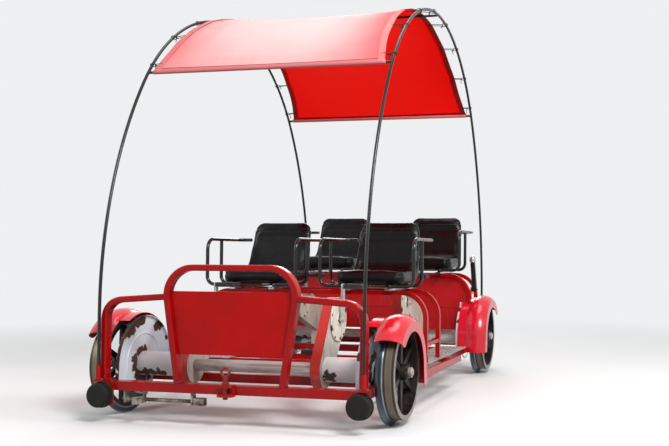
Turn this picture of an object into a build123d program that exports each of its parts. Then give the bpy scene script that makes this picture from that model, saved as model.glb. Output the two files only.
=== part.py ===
from build123d import *
import os
from math import asin, cos, degrees, radians, sin

# Four-seat pedal handcar for standard gauge track, in millimetres.
# X is across the car, +X on the right hand of someone who looks at the front panel.
# The front panel faces -Y, +Z is up. The origin is under the middle of the car, at
# the height of the wheel flanges' lowest points.

os.makedirs("parts", exist_ok=True)

# Small clearances
SEAT_GAP = 0.3           # between pieces that touch
BORE_GAP = 0.4           # round a shaft that turns
SLOT_GAP = 1.0           # round a tube that passes through a sheet
SHEET_T = 3.0            # sheet metal

# Wheels and axles
TREAD_R = 225.0
FLANGE_DEPTH = 25.0
FLANGE_W = 22.0
TREAD_W = 61.0
TREAD_CONE = 3.0         # drop of the tread's radius towards the outside
RIM_T = 26.0
WHEEL_BACK_X = 690.0
HUB_R = 42.0
HUB_OUT = 8.0            # how far the hub stands out of the rim, each side
SPOKE_COUNT = 6
SPOKE_W_IN = 36.0
SPOKE_W_OUT = 22.0
SPOKE_T = 16.0
AXLE_R = 20.0
AXLE_TUBE_R = 30.0
AXLE_NUT_R = 15.0
AXLE_NUT_L = 14.0
HALF_BASE = 1000.0       # half the wheelbase

# Frame
WHEEL_TO_BEAM = 20.0     # along the car, from a flange to an end beam's centre line
FRAME_TOP = 198.0
FRAME_H = 43.0
BEAM_D = 50.0
BEAM_HALF = 668.0
BEAM_WEB = 6.0
RAIL_IN_X = 617.0
RAIL_W = 50.0
CROSS_D = 40.0
SILL_OUT_X = 775.0
SILL_W = 50.0
SILL_BEHIND = 390.0      # from the front row's first hoop to the sill's rear end
SILL_BOTTOM_Z = 175.0
SILL_RISE = 23.0         # how far the sill's plate stands above the frame
CROSS_BEFORE_CRANK = 40.0
SILL_PLATE_T = 4.0

# End guard, of flat-sided tube
GUARD_TUBE_W = 30.0
GUARD_TUBE_D = 50.0
LOOP_BOTTOM_X = 262.0
LOOP_TOP_X = 345.0
LOOP_TOP_Z = 738.0
LOOP_R = 130.0
SIDE_POST_X = 650.0
SIDE_IN_Z = 600.0
SIDE_OUT_Z = 577.0
SIDE_R = 90.0
PANEL_TOP_Z = 627.0
PANEL_BOTTOM_Z = 332.0
PANEL_LIP = 12.0

# Buffers and couplings
BUFFER_X = 646.0
BUFFER_Z = 133.0
BUFFER_R = 57.0
BUFFER_T = 40.0
BUFFER_RING_R = 62.0
BUFFER_RING_T = 8.0
BRACKET_T = 8.0
BRACKET_BOTTOM_Z = 84.0
CLEVIS_W = 80.0
CLEVIS_REACH = 48.0
CLEVIS_T = 14.0
CLEVIS_Z = 150.0
CLEVIS_SLOT = 28.0
PIN_R = 11.0
PIN_TOP_Z = 262.0
PIN_EYE_R = 20.0
PIN_EYE_WIRE = 6.0

# Fenders and wheel guards
BAND_R = 254.0
CROWN_R = 274.0
CROWN_IN_X = 670.0
CROWN_MID_X = 732.0
CROWN_OUT_X = 790.0
CROWN_OUT_R = 257.0
SKIRT_X = 803.0
SKIRT_TOP_R = 241.0
SKIRT_R = 192.0
SKIRT_CORNER_R = 42.0
FENDER_FREE_ANGLE = 38.0     # the free end's height above the axle, in degrees
BAND_FREE_ANGLE = 60.0
TAIL_BOTTOM_Z = 162.0
TAIL_FLARE = 0.12            # run outwards for each unit down
WHEEL_GUARD_R = 240.0
WHEEL_GUARD_T = 3.0
WHEEL_GUARD_BOTTOM_Z = 150.0
WHEEL_GUARD_FLARE = 4.0
WHEEL_GUARD_LIP = 14.0
WHEEL_GUARD_RING_R = 150.0
COVER_R = 60.0
COVER_WALL = 4.0

# Bearing blocks
BLOCK_W = 42.0
BLOCK_L = 120.0
BLOCK_FOOT = 14.0
BLOCK_R = 38.0

# Seats: places of the front row, and what a row further back adds
SEAT_X = 345.0
SEAT_BEHIND_AXLE = 680.0
SEAT_BOTTOM_Z = 637.0
ROW_RISE = 70.0
SEAT_W = 404.0
SEAT_BACK_W = 368.0
SEAT_DEPTH = 455.0
SEAT_H = 362.0
SEAT_LIP = 78.0
SEAT_DISH = 24.0
SEAT_DISH_W = 340.0
SEAT_CORNER_R = 62.0

# Seat frames, of square tube
HOOP_TUBE = 25.0
HOOP_LEG_X = 660.0
HOOP_R = 140.0
HOOP_BEHIND_AXLE = 760.0
HOOP_BEFORE_AXLE = 110.0         # the rear row's first hoop, before the rear axle
HOOP_SPACING = (280.0, 226.0)    # of the front row, of the rear row
TIE_Z = 295.0
TIE_H = 20.0

# Seat runners and arms
TRACK_X = 120.0
TRACK_W = 34.0
TRACK_H = 12.0
TRACK_OVER = 90.0        # how far a track runs past the hoops it lies on
SEAT_RUNNER_H = 36.0     # from the hoops' top to the seat's underside
RUNNER_W = 24.0
RUNNER_IN = 30.0
ARM_X = 272.0
ARM_TUBE_R = 10.0
ARM_Z = 248.0            # above the seat's underside
ARM_FRONT = -20.0
ARM_MID = 150.0
ARM_BACK = 396.0
ARM_TOP_R = 60.0
ARM_FOOT_R = 45.0

# Pedal units
CRANK_BEHIND_AXLE = 150.0        # the front cranks, behind the front axle
CRANK_BEFORE_AXLE = 630.0        # the rear cranks, before the rear axle
CRANK_Z = 480.0
CRANK_RISE = 20.0
CASE_W = 46.0
CASE_TOP_R = 105.0
CASE_FRONT_R = 92.0
CASE_REAR_R = 80.0
STRIP_T = 3.0
STRIP_W = 50.0
DISC_R = 110.0
DISC_T = 8.0
DISC_DISH = 18.0
DISC_BOSS_R = 34.0
SPINDLE_R = 11.0
CRANK_L = 165.0
CRANK_T = 12.0
CRANK_W_IN = 34.0
CRANK_W_OUT = 24.0
CRANK_OFF = 10.0         # from the disc to the crank
PEDAL_W = 98.0
PEDAL_L = 90.0
PEDAL_H = 22.0
PEDAL_OFF = 10.0
PEDAL_BAR = 9.0
PEDAL_CORE = 8.0         # width of the bar round the pedal's spindle
PEDAL_SPINDLE_R = 7.0

# Rear wall
WALL_BOTTOM_Z = 295.0
WALL_BEAD_Z = 445.0
WALL_BEAD_H = 8.0

# Step plates
STEP_IN_X = 500.0
STEP_OUT_X = 690.0
STEP_BEFORE = 60.0       # how far a plate runs before the front row's first hoop
STEP_REAR_GAP = 318.0    # from a plate's rear end to the rear axle
STEP_T = 4.0
RIB_PITCH = 24.0
RIB_H = 3.0
RIB_W = 9.0

# Canopy
CANOPY_X = 663.0
CANOPY_TOP_Z = 2200.0
CANOPY_TOP_R = 1150.0
CANOPY_LEG_R = 2100.0    # of the long bend between a leg and the top
CANOPY_ROD_R = 8.0
CANOPY_FOOT_OUT = 40.0   # from an end beam's centre line to a leg
SHOE_T = 8.0
SHOE_W = 52.0
SOCKET_WALL = 4.0
SOCKET_FRONT_L = 70.0
SOCKET_REAR_L = 290.0
ROD_IN_REAR = 60.0
EAVE_ANGLE = 53.0
BAR_R = 7.0
CLOTH_T = 3.0
CLOTH_HALF = 604.0

# Hand brake
BRAKE_PIVOT_Z = 565.0
BRAKE_BEHIND_HOOP = 18.0
BRAKE_LEVER_L = 185.0
BRAKE_LEVER_W = 30.0
BRAKE_LEVER_T = 18.0
BRAKE_PIN_R = 6.0
BRAKE_LEAN = 20.0
BRAKE_GRIP_R = 21.0
BRAKE_GRIP_L = 46.0

# Brake rigging under the front beam
RIG_OUT_X = 560.0
RIG_IN_X = 150.0
RIG_DROP = 42.0          # from the frame's underside to the cross rod
RIG_BACK = 20.0          # from the beam to the cross rod
RIG_ROD_R = 9.0
RIG_HANGERS = (540.0, 190.0)
RIG_HANGER_T = 8.0
RIG_HANGER_W = 36.0
RIG_ARM_X = 455.0
RIG_ARM_W = 30.0
RIG_ARM_L = 76.0
RIG_BLOCK_X = 155.0
RIG_BLOCK_W = 50.0
RIG_BLOCK_H = 34.0

AXLE_Z = TREAD_R + FLANGE_DEPTH
HALF_LENGTH = HALF_BASE + AXLE_Z + WHEEL_TO_BEAM
CRANK_YS = (CRANK_BEHIND_AXLE - HALF_BASE, HALF_BASE - CRANK_BEFORE_AXLE)
HOOP_YS = (HOOP_BEHIND_AXLE - HALF_BASE, HALF_BASE - HOOP_BEFORE_AXLE)
SEAT_FRONT_Y = SEAT_BEHIND_AXLE - HALF_BASE
ROW_PITCH = HOOP_YS[1] - HOOP_YS[0]
STEP_FRONT_Y = HOOP_YS[0] - STEP_BEFORE
STEP_REAR_Y = HALF_BASE - STEP_REAR_GAP
SILL_REAR_Y = HOOP_YS[0] + SILL_BEHIND
CANOPY_FOOT_Y = HALF_LENGTH + CANOPY_FOOT_OUT
CANOPY_TOP_ANGLE = degrees(asin((CANOPY_LEG_R - CANOPY_FOOT_Y) / (CANOPY_LEG_R - CANOPY_TOP_R)))
WHEEL_FACE_X = WHEEL_BACK_X + FLANGE_W + TREAD_W
FRAME_BOTTOM = FRAME_TOP - FRAME_H
RAIL_OUT_X = RAIL_IN_X + RAIL_W
BEAM_IN_Y = HALF_LENGTH - BEAM_D / 2
BEAM_OUT_Y = HALF_LENGTH + BEAM_D / 2
SIDES = (-1, 1)
ENDS = (-1, 1)
ROWS = (0, 1)
SIDE_NAME = {-1: "left", 1: "right"}
ROW_NAME = {0: "front", 1: "rear"}


def block(x0, x1, y0, y1, z0, z1):
    """Block between its low and high faces."""
    middle = Pos((x0 + x1) / 2, (y0 + y1) / 2, (z0 + z1) / 2)
    return middle * Box(abs(x1 - x0), abs(y1 - y0), abs(z1 - z0))


def rod(start, end, radius):
    """Round bar between two points."""
    a, b = Vector(start), Vector(end)
    plane = Plane(origin=a, z_dir=b - a)
    return extrude(plane * Circle(radius), (b - a).length)


def bent_tube(points, corner, section, across=None):
    """Section swept along straight runs that rounded corners join."""
    path = FilletPolyline(*points, radius=corner)
    if across is None:
        start = Plane(origin=path @ 0, z_dir=path % 0)
    else:
        start = Plane(origin=path @ 0, x_dir=across, z_dir=path % 0)
    return sweep(start * section, path=path)


def turned(profile, angle=360.0):
    """Profile drawn as X and radius, turned about the X axis from +Y over the top."""
    return revolve(Plane.XY * profile, Axis.X, angle)


def side_plate(outline, x0, x1):
    """Sketch drawn as Y and Z, made a plate from x0 to x1."""
    return extrude(Plane.YZ.offset(x0) * outline, x1 - x0)


def mirrored(shape, plane, wanted):
    """Shape, or its mirror image where it is wanted."""
    return shape.mirror(plane) if wanted else shape


# Wheels and axles

def wheel():
    """Flanged, spoked wheel on the right-hand side, its axis on X."""
    back, face = WHEEL_BACK_X, WHEEL_FACE_X
    flange_r = TREAD_R + FLANGE_DEPTH
    rim_r = TREAD_R - RIM_T
    root = back + FLANGE_W
    rim = Polyline((back, rim_r), (back, flange_r - 5), (back + 5, flange_r), (root - 8, flange_r),
                   (root, TREAD_R + 5), (root + 5, TREAD_R), (face, TREAD_R - TREAD_CONE),
                   (face, rim_r), close=True)
    hub = Polyline((back - HUB_OUT, AXLE_R + 0.1), (back - HUB_OUT, HUB_R - 6), (back, HUB_R),
                   (face, HUB_R - 4), (face + HUB_OUT, HUB_R - 12), (face + HUB_OUT, AXLE_R + 0.1),
                   close=True)
    body = turned(make_face(rim)) + turned(make_face(hub))
    middle = (back + face) / 2 + 6
    inner, outer = HUB_R - 8, rim_r + 4
    arm = make_face(Polyline((-SPOKE_W_IN / 2, inner), (SPOKE_W_IN / 2, inner),
                             (SPOKE_W_OUT / 2, outer), (-SPOKE_W_OUT / 2, outer), close=True))
    spoke = side_plate(arm, middle - SPOKE_T / 2, middle + SPOKE_T / 2)
    for step in range(SPOKE_COUNT):
        body += Rot(step * 360 / SPOKE_COUNT, 0, 0) * spoke
    return body


def wheel_pair(end):
    """Both wheels of one axle."""
    right = Pos(0, end * HALF_BASE, AXLE_Z) * wheel()
    return [right, right.mirror(Plane.YZ)]


def axle(end):
    """Stepped axle with its bright middle tube and an end nut at each wheel."""
    tube_end = SEAT_X - CASE_W / 2 - 2
    nut_start = WHEEL_FACE_X + HUB_OUT + SEAT_GAP
    nut_end = nut_start + AXLE_NUT_L
    half = Polyline((0, 0), (0, AXLE_TUBE_R), (tube_end - 3, AXLE_TUBE_R), (tube_end, AXLE_TUBE_R - 3),
                    (tube_end, AXLE_R), (nut_start, AXLE_R), (nut_start, AXLE_NUT_R + 9),
                    (nut_end, AXLE_NUT_R + 9), (nut_end + 6, AXLE_NUT_R), (nut_end + 6, 0), close=True)
    right = turned(make_face(half))
    return Pos(0, end * HALF_BASE, AXLE_Z) * (right + right.mirror(Plane.YZ))


# Frame

def frame_cross_places():
    """Y of each cross member's centre."""
    return (CRANK_YS[0] - CROSS_BEFORE_CRANK, *hoop_places(0), STEP_REAR_Y - CROSS_D / 2)


def base_frame():
    """Welded frame: end beams, rails, cross members, side sills and buffer brackets."""
    frame = block(-RAIL_OUT_X, -RAIL_IN_X, -BEAM_IN_Y, BEAM_IN_Y, FRAME_BOTTOM, FRAME_TOP)
    frame += block(RAIL_IN_X, RAIL_OUT_X, -BEAM_IN_Y, BEAM_IN_Y, FRAME_BOTTOM, FRAME_TOP)
    for end in ENDS:
        beam = block(-BEAM_HALF, BEAM_HALF, BEAM_IN_Y, BEAM_OUT_Y, FRAME_BOTTOM, FRAME_TOP)
        beam -= block(-RAIL_IN_X, RAIL_IN_X, BEAM_IN_Y - 1, BEAM_OUT_Y - BEAM_WEB,
                      FRAME_BOTTOM + BEAM_WEB, FRAME_TOP - BEAM_WEB)
        for side in SIDES:
            beam += block(side * (BUFFER_X - BUFFER_R), side * BEAM_HALF, BEAM_OUT_Y - SEAT_GAP,
                          BEAM_OUT_Y + BRACKET_T, BRACKET_BOTTOM_Z, FRAME_TOP)
            beam += block(side * (CANOPY_X - SHOE_W / 2), side * (CANOPY_X + SHOE_W / 2),
                          BEAM_OUT_Y + SEAT_GAP, CANOPY_FOOT_Y + SHOE_W / 4, FRAME_TOP - 2,
                          FRAME_TOP - 2 + SHOE_T)
        frame += mirrored(beam, Plane.XZ, end < 0)
    for y in frame_cross_places():
        frame += block(-RAIL_IN_X, RAIL_IN_X, y - CROSS_D / 2, y + CROSS_D / 2, FRAME_BOTTOM, FRAME_TOP)
    sill_front = -HALF_BASE + CROWN_R + 34
    plate = make_face(Polyline((sill_front, SILL_BOTTOM_Z), (SILL_REAR_Y, SILL_BOTTOM_Z),
                               (SILL_REAR_Y, FRAME_TOP + SILL_RISE / 2),
                               (sill_front, FRAME_TOP + SILL_RISE), close=True))
    for side in SIDES:
        sill = block(SILL_OUT_X - SILL_W, SILL_OUT_X, sill_front, SILL_REAR_Y, SILL_BOTTOM_Z, FRAME_TOP)
        sill += side_plate(plate, SILL_OUT_X - SILL_PLATE_T, SILL_OUT_X)
        for y in (sill_front + 1.5 * CROSS_D, SILL_REAR_Y - 1.5 * CROSS_D):
            sill += block(RAIL_OUT_X, SILL_OUT_X - SILL_W, y - CROSS_D / 2, y + CROSS_D / 2,
                          SILL_BOTTOM_Z, FRAME_TOP)
        frame += mirrored(sill, Plane.YZ, side < 0)
    return frame


def guard_section(grow=0.0):
    """Flat-sided tube of the end guard, its depth along the sketch's X."""
    return RectangleRounded(GUARD_TUBE_D + 2 * grow, GUARD_TUBE_W + 2 * grow, 7)


def loop_x(z):
    """Centre line of the middle loop's side at a height."""
    share = (z - FRAME_TOP) / (LOOP_TOP_Z - FRAME_TOP)
    return LOOP_BOTTOM_X + share * (LOOP_TOP_X - LOOP_BOTTOM_X)


def middle_loop(grow=0.0):
    """Middle loop of the guard, grown by a margin."""
    y = -HALF_LENGTH
    foot = FRAME_TOP - GUARD_TUBE_W / 4
    return bent_tube([(-LOOP_BOTTOM_X, y, foot), (-LOOP_TOP_X, y, LOOP_TOP_Z),
                      (LOOP_TOP_X, y, LOOP_TOP_Z), (LOOP_BOTTOM_X, y, foot)],
                     LOOP_R, guard_section(grow), (0, 1, 0))


def front_guard():
    """Middle loop and two side loops that stand on the front beam."""
    y = -HALF_LENGTH
    foot = FRAME_TOP + SEAT_GAP
    loop = middle_loop()
    start = loop_x(SIDE_IN_Z) + GUARD_TUBE_W / 4
    for side in SIDES:
        loop += bent_tube([(side * start, y, SIDE_IN_Z), (side * SIDE_POST_X, y, SIDE_OUT_Z),
                           (side * SIDE_POST_X, y, foot)],
                          SIDE_R, guard_section(), (0, 1, 0))
    return loop - block(-BEAM_HALF, BEAM_HALF, y - BEAM_D, y + BEAM_D, FRAME_BOTTOM, foot)


def front_panel():
    """Sheet between the middle loop's sides, folded back along its top and bottom."""
    y = -HALF_LENGTH
    top, bottom = loop_x(PANEL_TOP_Z), loop_x(PANEL_BOTTOM_Z)
    face = make_face(Polyline((-bottom, PANEL_BOTTOM_Z), (bottom, PANEL_BOTTOM_Z),
                              (top, PANEL_TOP_Z), (-top, PANEL_TOP_Z), close=True))
    sheet = extrude(Plane.XZ.offset(-y) * face, SHEET_T / 2, both=True)
    sheet += block(-top, top, y - SHEET_T / 2, y + PANEL_LIP, PANEL_TOP_Z - SHEET_T, PANEL_TOP_Z)
    sheet += block(-bottom, bottom, y - SHEET_T / 2, y + PANEL_LIP,
                   PANEL_BOTTOM_Z, PANEL_BOTTOM_Z + SHEET_T)
    return sheet - middle_loop(SEAT_GAP)


def bearing_blocks():
    """Pillow blocks on the rails, one for each axle end."""
    outline = (Pos(0, FRAME_TOP + SEAT_GAP + BLOCK_FOOT / 2) * Rectangle(BLOCK_L, BLOCK_FOOT)
               + Pos(0, (FRAME_TOP + SEAT_GAP + AXLE_Z) / 2)
               * Rectangle(2 * BLOCK_R, AXLE_Z - FRAME_TOP - SEAT_GAP)
               + Pos(0, AXLE_Z) * Circle(BLOCK_R)
               - Pos(0, AXLE_Z) * Circle(AXLE_R + BORE_GAP))
    x0 = RAIL_IN_X + (RAIL_W - BLOCK_W) / 2
    right = side_plate(outline, x0, x0 + BLOCK_W)
    blocks = []
    for end in ENDS:
        moved = Pos(0, end * HALF_BASE, 0) * right
        blocks += [moved, moved.mirror(Plane.YZ)]
    return blocks


# Buffers and couplings

def buffer_pads():
    """Round rubber buffers under the beams' ends."""
    start = BEAM_OUT_Y + BRACKET_T + BUFFER_RING_T
    profile = Polyline((0, 0), (BUFFER_R, 0), (BUFFER_R, BUFFER_T - 7), (BUFFER_R - 7, BUFFER_T),
                       (0, BUFFER_T), close=True)
    pad = revolve(Plane.XZ * make_face(profile), Axis.Z)
    pads = []
    for end in ENDS:
        for side in SIDES:
            pads.append(Pos(side * BUFFER_X, end * start, BUFFER_Z) * Rot(-90 * end, 0, 0) * pad)
    return pads


def buffer_rings():
    """Steel backing rings between the buffers and their brackets."""
    start = BEAM_OUT_Y + BRACKET_T
    ring = Pos(0, 0, BUFFER_RING_T / 2) * Cylinder(BUFFER_RING_R, BUFFER_RING_T)
    rings = []
    for end in ENDS:
        for side in SIDES:
            rings.append(Pos(side * BUFFER_X, end * start, BUFFER_Z) * Rot(-90 * end, 0, 0) * ring)
    return rings


def coupling_head():
    """Clevis for the rear, with its reach along +Y and its eye upright."""
    height = 2 * CLEVIS_T + CLEVIS_SLOT
    start = BEAM_OUT_Y
    eye_y = start + CLEVIS_REACH - PIN_R - 13
    outline = (Pos(0, start + (eye_y - start) / 2) * Rectangle(CLEVIS_W, eye_y - start)
               + Pos(0, eye_y) * Rectangle(CLEVIS_W, 2)
               + make_hull([edge for x in (-16, 16)
                            for edge in (Pos(x, eye_y) * Circle(PIN_R + 13)).edges()]))
    head = extrude(Plane.XY.offset(CLEVIS_Z) * outline, height)
    head -= block(-CLEVIS_W, CLEVIS_W, start + 12, start + CLEVIS_REACH + 1,
                  CLEVIS_Z + CLEVIS_T, CLEVIS_Z + CLEVIS_T + CLEVIS_SLOT)
    head -= Pos(0, eye_y, CLEVIS_Z + height / 2) * Cylinder(PIN_R + 0.5, height + 2)
    return head, eye_y


def couplings():
    """Coupling heads at both ends."""
    head, _ = coupling_head()
    return [head, head.mirror(Plane.XZ)]


def coupling_pin():
    """Loose pin with a ring handle, in the front coupling."""
    _, eye_y = coupling_head()
    height = 2 * CLEVIS_T + CLEVIS_SLOT
    collar_z = CLEVIS_Z + height + SEAT_GAP
    pin = rod((0, -eye_y, CLEVIS_Z - 12), (0, -eye_y, PIN_TOP_Z - PIN_EYE_R), PIN_R)
    pin += rod((0, -eye_y, collar_z), (0, -eye_y, collar_z + 8), PIN_R + 7)
    pin += Pos(0, -eye_y, PIN_TOP_Z) * Rot(90, 0, 0) * Torus(PIN_EYE_R, PIN_EYE_WIRE)
    return pin


# Fenders and wheel guards

def fender_profile():
    """Thin section across the fender, as X and radius."""
    t = SHEET_T
    outer = [Line((RAIL_IN_X, BAND_R), (CROWN_IN_X, BAND_R)),
             ThreePointArc((CROWN_IN_X, BAND_R), (CROWN_MID_X, CROWN_R), (CROWN_OUT_X, CROWN_OUT_R)),
             Line((CROWN_OUT_X, CROWN_OUT_R), (SKIRT_X, SKIRT_TOP_R)),
             Line((SKIRT_X, SKIRT_TOP_R), (SKIRT_X + 1, SKIRT_R)),
             Line((SKIRT_X + 1, SKIRT_R), (SKIRT_X + 1 - t, SKIRT_R))]
    inner = [Line((SKIRT_X + 1 - t, SKIRT_R), (SKIRT_X - t, SKIRT_TOP_R - 1)),
             Line((SKIRT_X - t, SKIRT_TOP_R - 1), (CROWN_OUT_X - 2, CROWN_OUT_R - t)),
             ThreePointArc((CROWN_OUT_X - 2, CROWN_OUT_R - t), (CROWN_MID_X, CROWN_R - t),
                           (CROWN_IN_X + 2, BAND_R - t)),
             Line((CROWN_IN_X + 2, BAND_R - t), (RAIL_IN_X, BAND_R - t)),
             Line((RAIL_IN_X, BAND_R - t), (RAIL_IN_X, BAND_R))]
    return make_face(outer + inner)


def skirt_corner():
    """What rounds the skirt's corner at the free end, about the axle."""
    free = radians(FENDER_FREE_ANGLE)
    reach = SKIRT_R + SKIRT_CORNER_R
    turn = asin(SKIRT_CORNER_R / reach)

    def at(radius, angle):
        """Point at a radius and at an angle above the free end's side."""
        return -radius * cos(angle), radius * sin(angle)

    over = turn / 3
    wedge = make_face(Polyline(at(SKIRT_R - 12, free + turn), at(reach, free + turn),
                               at(reach * cos(turn), free), at(reach * cos(turn), free - over),
                               at(SKIRT_R - 12, free - over), close=True))
    wedge -= Pos(*at(reach, free + turn)) * Circle(SKIRT_CORNER_R)
    return side_plate(wedge, CROWN_OUT_X, SKIRT_X + 10)


def fender(end, side):
    """One fender: long side towards the middle of the car, free end outwards."""
    profile = fender_profile()
    arc = turned(profile, 180 - FENDER_FREE_ANGLE)
    tail_h = AXLE_Z - TAIL_BOTTOM_Z
    tail = extrude(profile, tail_h, dir=(0, TAIL_FLARE, -1))
    shape = arc + tail - skirt_corner()
    reach = CROWN_R + 40
    shape -= block(RAIL_IN_X - 1, CROWN_IN_X + 0.5, -reach, 0, -reach,
                   BAND_R * sin(radians(BAND_FREE_ANGLE)))
    shape = Pos(0, 0, AXLE_Z) * shape
    shape -= block(RAIL_IN_X - 1, RAIL_OUT_X + SLOT_GAP, 0, 2 * reach, 0, FRAME_TOP + SEAT_GAP)
    shape = Pos(0, -HALF_BASE, 0) * shape
    shape = mirrored(shape, Plane.XZ, end > 0)
    if end > 0:
        half = HOOP_TUBE / 2 + SLOT_GAP
        for y in hoop_places(1):
            shape -= block(HOOP_LEG_X - half, HOOP_LEG_X + half, y - half, y + half,
                           FRAME_TOP, AXLE_Z + 2 * CROWN_R)
        shape = max(shape.solids(), key=lambda solid: solid.volume)
    return mirrored(shape, Plane.YZ, side < 0)


def wheel_guard(end, side):
    """Arched inner plate of a wheel, with a turned lip and a pressed ring."""
    drop = AXLE_Z - WHEEL_GUARD_BOTTOM_Z
    r = WHEEL_GUARD_R

    def arch(inset):
        """Outline of the plate, moved in by an inset."""
        a, flare = r - inset, WHEEL_GUARD_FLARE - inset
        return make_face([ThreePointArc((-a, 0), (0, a), (a, 0)),
                          Line((a, 0), (r + flare, -drop)),
                          Line((r + flare, -drop), (-r - flare, -drop)),
                          Line((-r - flare, -drop), (-a, 0))])

    outer = RAIL_IN_X - SEAT_GAP
    inner = outer - WHEEL_GUARD_T
    plate = side_plate(arch(0), inner, outer)
    lip = side_plate(arch(0), inner - WHEEL_GUARD_LIP, inner) \
        - side_plate(arch(WHEEL_GUARD_T), inner - WHEEL_GUARD_LIP - 1, inner + 1) \
        - block(inner - WHEEL_GUARD_LIP - 1, inner, -2 * r, 2 * r, -drop - 1, -drop + 2 * WHEEL_GUARD_T)
    ring = turned(Pos(inner, WHEEL_GUARD_RING_R) * Circle(5))
    ring -= block(inner, outer + 10, -r, r, -r, r)
    plate = plate + lip + ring
    plate -= Rot(0, 90, 0) * Cylinder(AXLE_R + 4, 4 * outer)
    plate = Pos(0, end * HALF_BASE, AXLE_Z) * plate
    for y in frame_cross_places():
        plate -= block(inner - WHEEL_GUARD_LIP - 1, outer + 1, y - CROSS_D / 2 - SLOT_GAP,
                       y + CROSS_D / 2 + SLOT_GAP, 0, FRAME_TOP + SLOT_GAP)
    return mirrored(plate, Plane.YZ, side < 0)


def axle_covers():
    """White tubes round the axle, from each pedal unit to the wheel guard."""
    start = SEAT_X + CASE_W / 2 + SEAT_GAP
    end_x = RAIL_IN_X - SEAT_GAP - WHEEL_GUARD_T - SEAT_GAP
    ring = Circle(COVER_R) - Circle(COVER_R - COVER_WALL)
    right = side_plate(ring, start, end_x)
    covers = []
    for end in ENDS:
        moved = Pos(0, end * HALF_BASE, AXLE_Z) * right
        covers += [moved, moved.mirror(Plane.YZ)]
    return covers


# Pedal units

def crank_place(row):
    """Y and Z of a row's crank spindles."""
    return CRANK_YS[row], CRANK_Z + row * CRANK_RISE


def case_outline(row, grow):
    """Side view of a chain case, from the crank to the axle, grown by a margin."""
    y, z = crank_place(row)
    low_r = (CASE_FRONT_R, CASE_REAR_R)[row]
    high = Pos(y, z) * Circle(CASE_TOP_R + grow)
    low = Pos(ENDS[row] * HALF_BASE, AXLE_Z) * Circle(low_r + grow)
    return make_hull(high.edges() + low.edges())


def case_foot_y(row):
    """Y of the cross member that a chain case stands on."""
    return frame_cross_places()[3 * row]


def chain_case(row, side):
    """Chain case with its spindle and axle holes, and its foot on the frame."""
    y, z = crank_place(row)
    foot_y = case_foot_y(row)
    x0 = side * SEAT_X - CASE_W / 2
    case = side_plate(case_outline(row, 0), x0, x0 + CASE_W)
    foot = block(x0, x0 + CASE_W, foot_y - CROSS_D / 2, foot_y + CROSS_D / 2, FRAME_TOP + SEAT_GAP, z)
    reach = side_plate(make_hull((Pos(y, z) * Circle(CASE_TOP_R / 2)).edges()
                                 + (Pos(foot_y, z) * Circle(CROSS_D)).edges()
                                 + (Pos(ENDS[row] * HALF_BASE, AXLE_Z) * Circle(CASE_REAR_R / 2)).edges()),
                       x0 - 1, x0 + CASE_W + 1)
    case += foot - reach
    for hole_y, hole_z, hole_r in ((y, z, SPINDLE_R), (ENDS[row] * HALF_BASE, AXLE_Z, AXLE_R)):
        case -= Pos(side * SEAT_X, hole_y, hole_z) * Rot(0, 90, 0) \
            * Cylinder(hole_r + BORE_GAP, CASE_W + 4)
    return case


def case_strip(row, side):
    """Painted band round the front of a chain case."""
    y, z = crank_place(row)
    x0 = side * SEAT_X - STRIP_W / 2
    band = case_outline(row, SEAT_GAP + STRIP_T) - case_outline(row, SEAT_GAP)
    axle_y = ENDS[row] * HALF_BASE
    if row == 0:
        keep = make_face(Polyline((axle_y, AXLE_Z - 2 * CASE_TOP_R), (axle_y - 3 * CASE_TOP_R, AXLE_Z),
                                  (y - 2 * CASE_TOP_R, z + 2 * CASE_TOP_R), (y, z + 2 * CASE_TOP_R),
                                  (y, z), (axle_y, AXLE_Z), close=True))
    else:
        keep = make_face(Polyline((y, z + 2 * CASE_TOP_R), (y - 2 * CASE_TOP_R, z + CASE_TOP_R),
                                  (y - 2 * CASE_TOP_R, z - 2 * CASE_TOP_R), (y, z - 2 * CASE_TOP_R),
                                  (y, z), close=True))
    return side_plate(band & keep, x0, x0 + STRIP_W)


def crank_disc(row, side):
    """Round cover on the right face of a pedal unit."""
    y, z = crank_place(row)
    x0 = side * SEAT_X + STRIP_W / 2 + SEAT_GAP
    hole = SPINDLE_R + BORE_GAP
    profile = Polyline((x0, hole), (x0, DISC_R - 2), (x0 + 3, DISC_R), (x0 + DISC_T - 2, DISC_R - 3),
                       (x0 + DISC_T - 3, DISC_R - DISC_DISH), (x0 + DISC_T - 1, DISC_BOSS_R),
                       (x0 + DISC_T + 2, DISC_BOSS_R - 4), (x0 + DISC_T + 2, hole), close=True)
    return Pos(0, y, z) * turned(make_face(profile))


def crank_arm_x(side):
    """X of the inner face of the right crank and of the left crank of a unit."""
    right = side * SEAT_X + STRIP_W / 2 + SEAT_GAP + DISC_T + CRANK_OFF
    left = side * SEAT_X - CASE_W / 2 - CRANK_OFF
    return right, left


def crank_set(row, side):
    """Spindle with two crank arms, the right one up and the left one down."""
    y, z = crank_place(row)
    right, left = crank_arm_x(side)
    arm = make_hull(Circle(CRANK_W_IN / 2).edges() + (Pos(0, CRANK_L) * Circle(CRANK_W_OUT / 2)).edges())
    crank = rod((left - CRANK_T - 3, 0, 0), (right + CRANK_T + 3, 0, 0), SPINDLE_R)
    crank += side_plate(arm, right, right + CRANK_T)
    crank += Rot(180, 0, 0) * side_plate(arm, left - CRANK_T, left)
    return Pos(0, y, z) * crank


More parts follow.
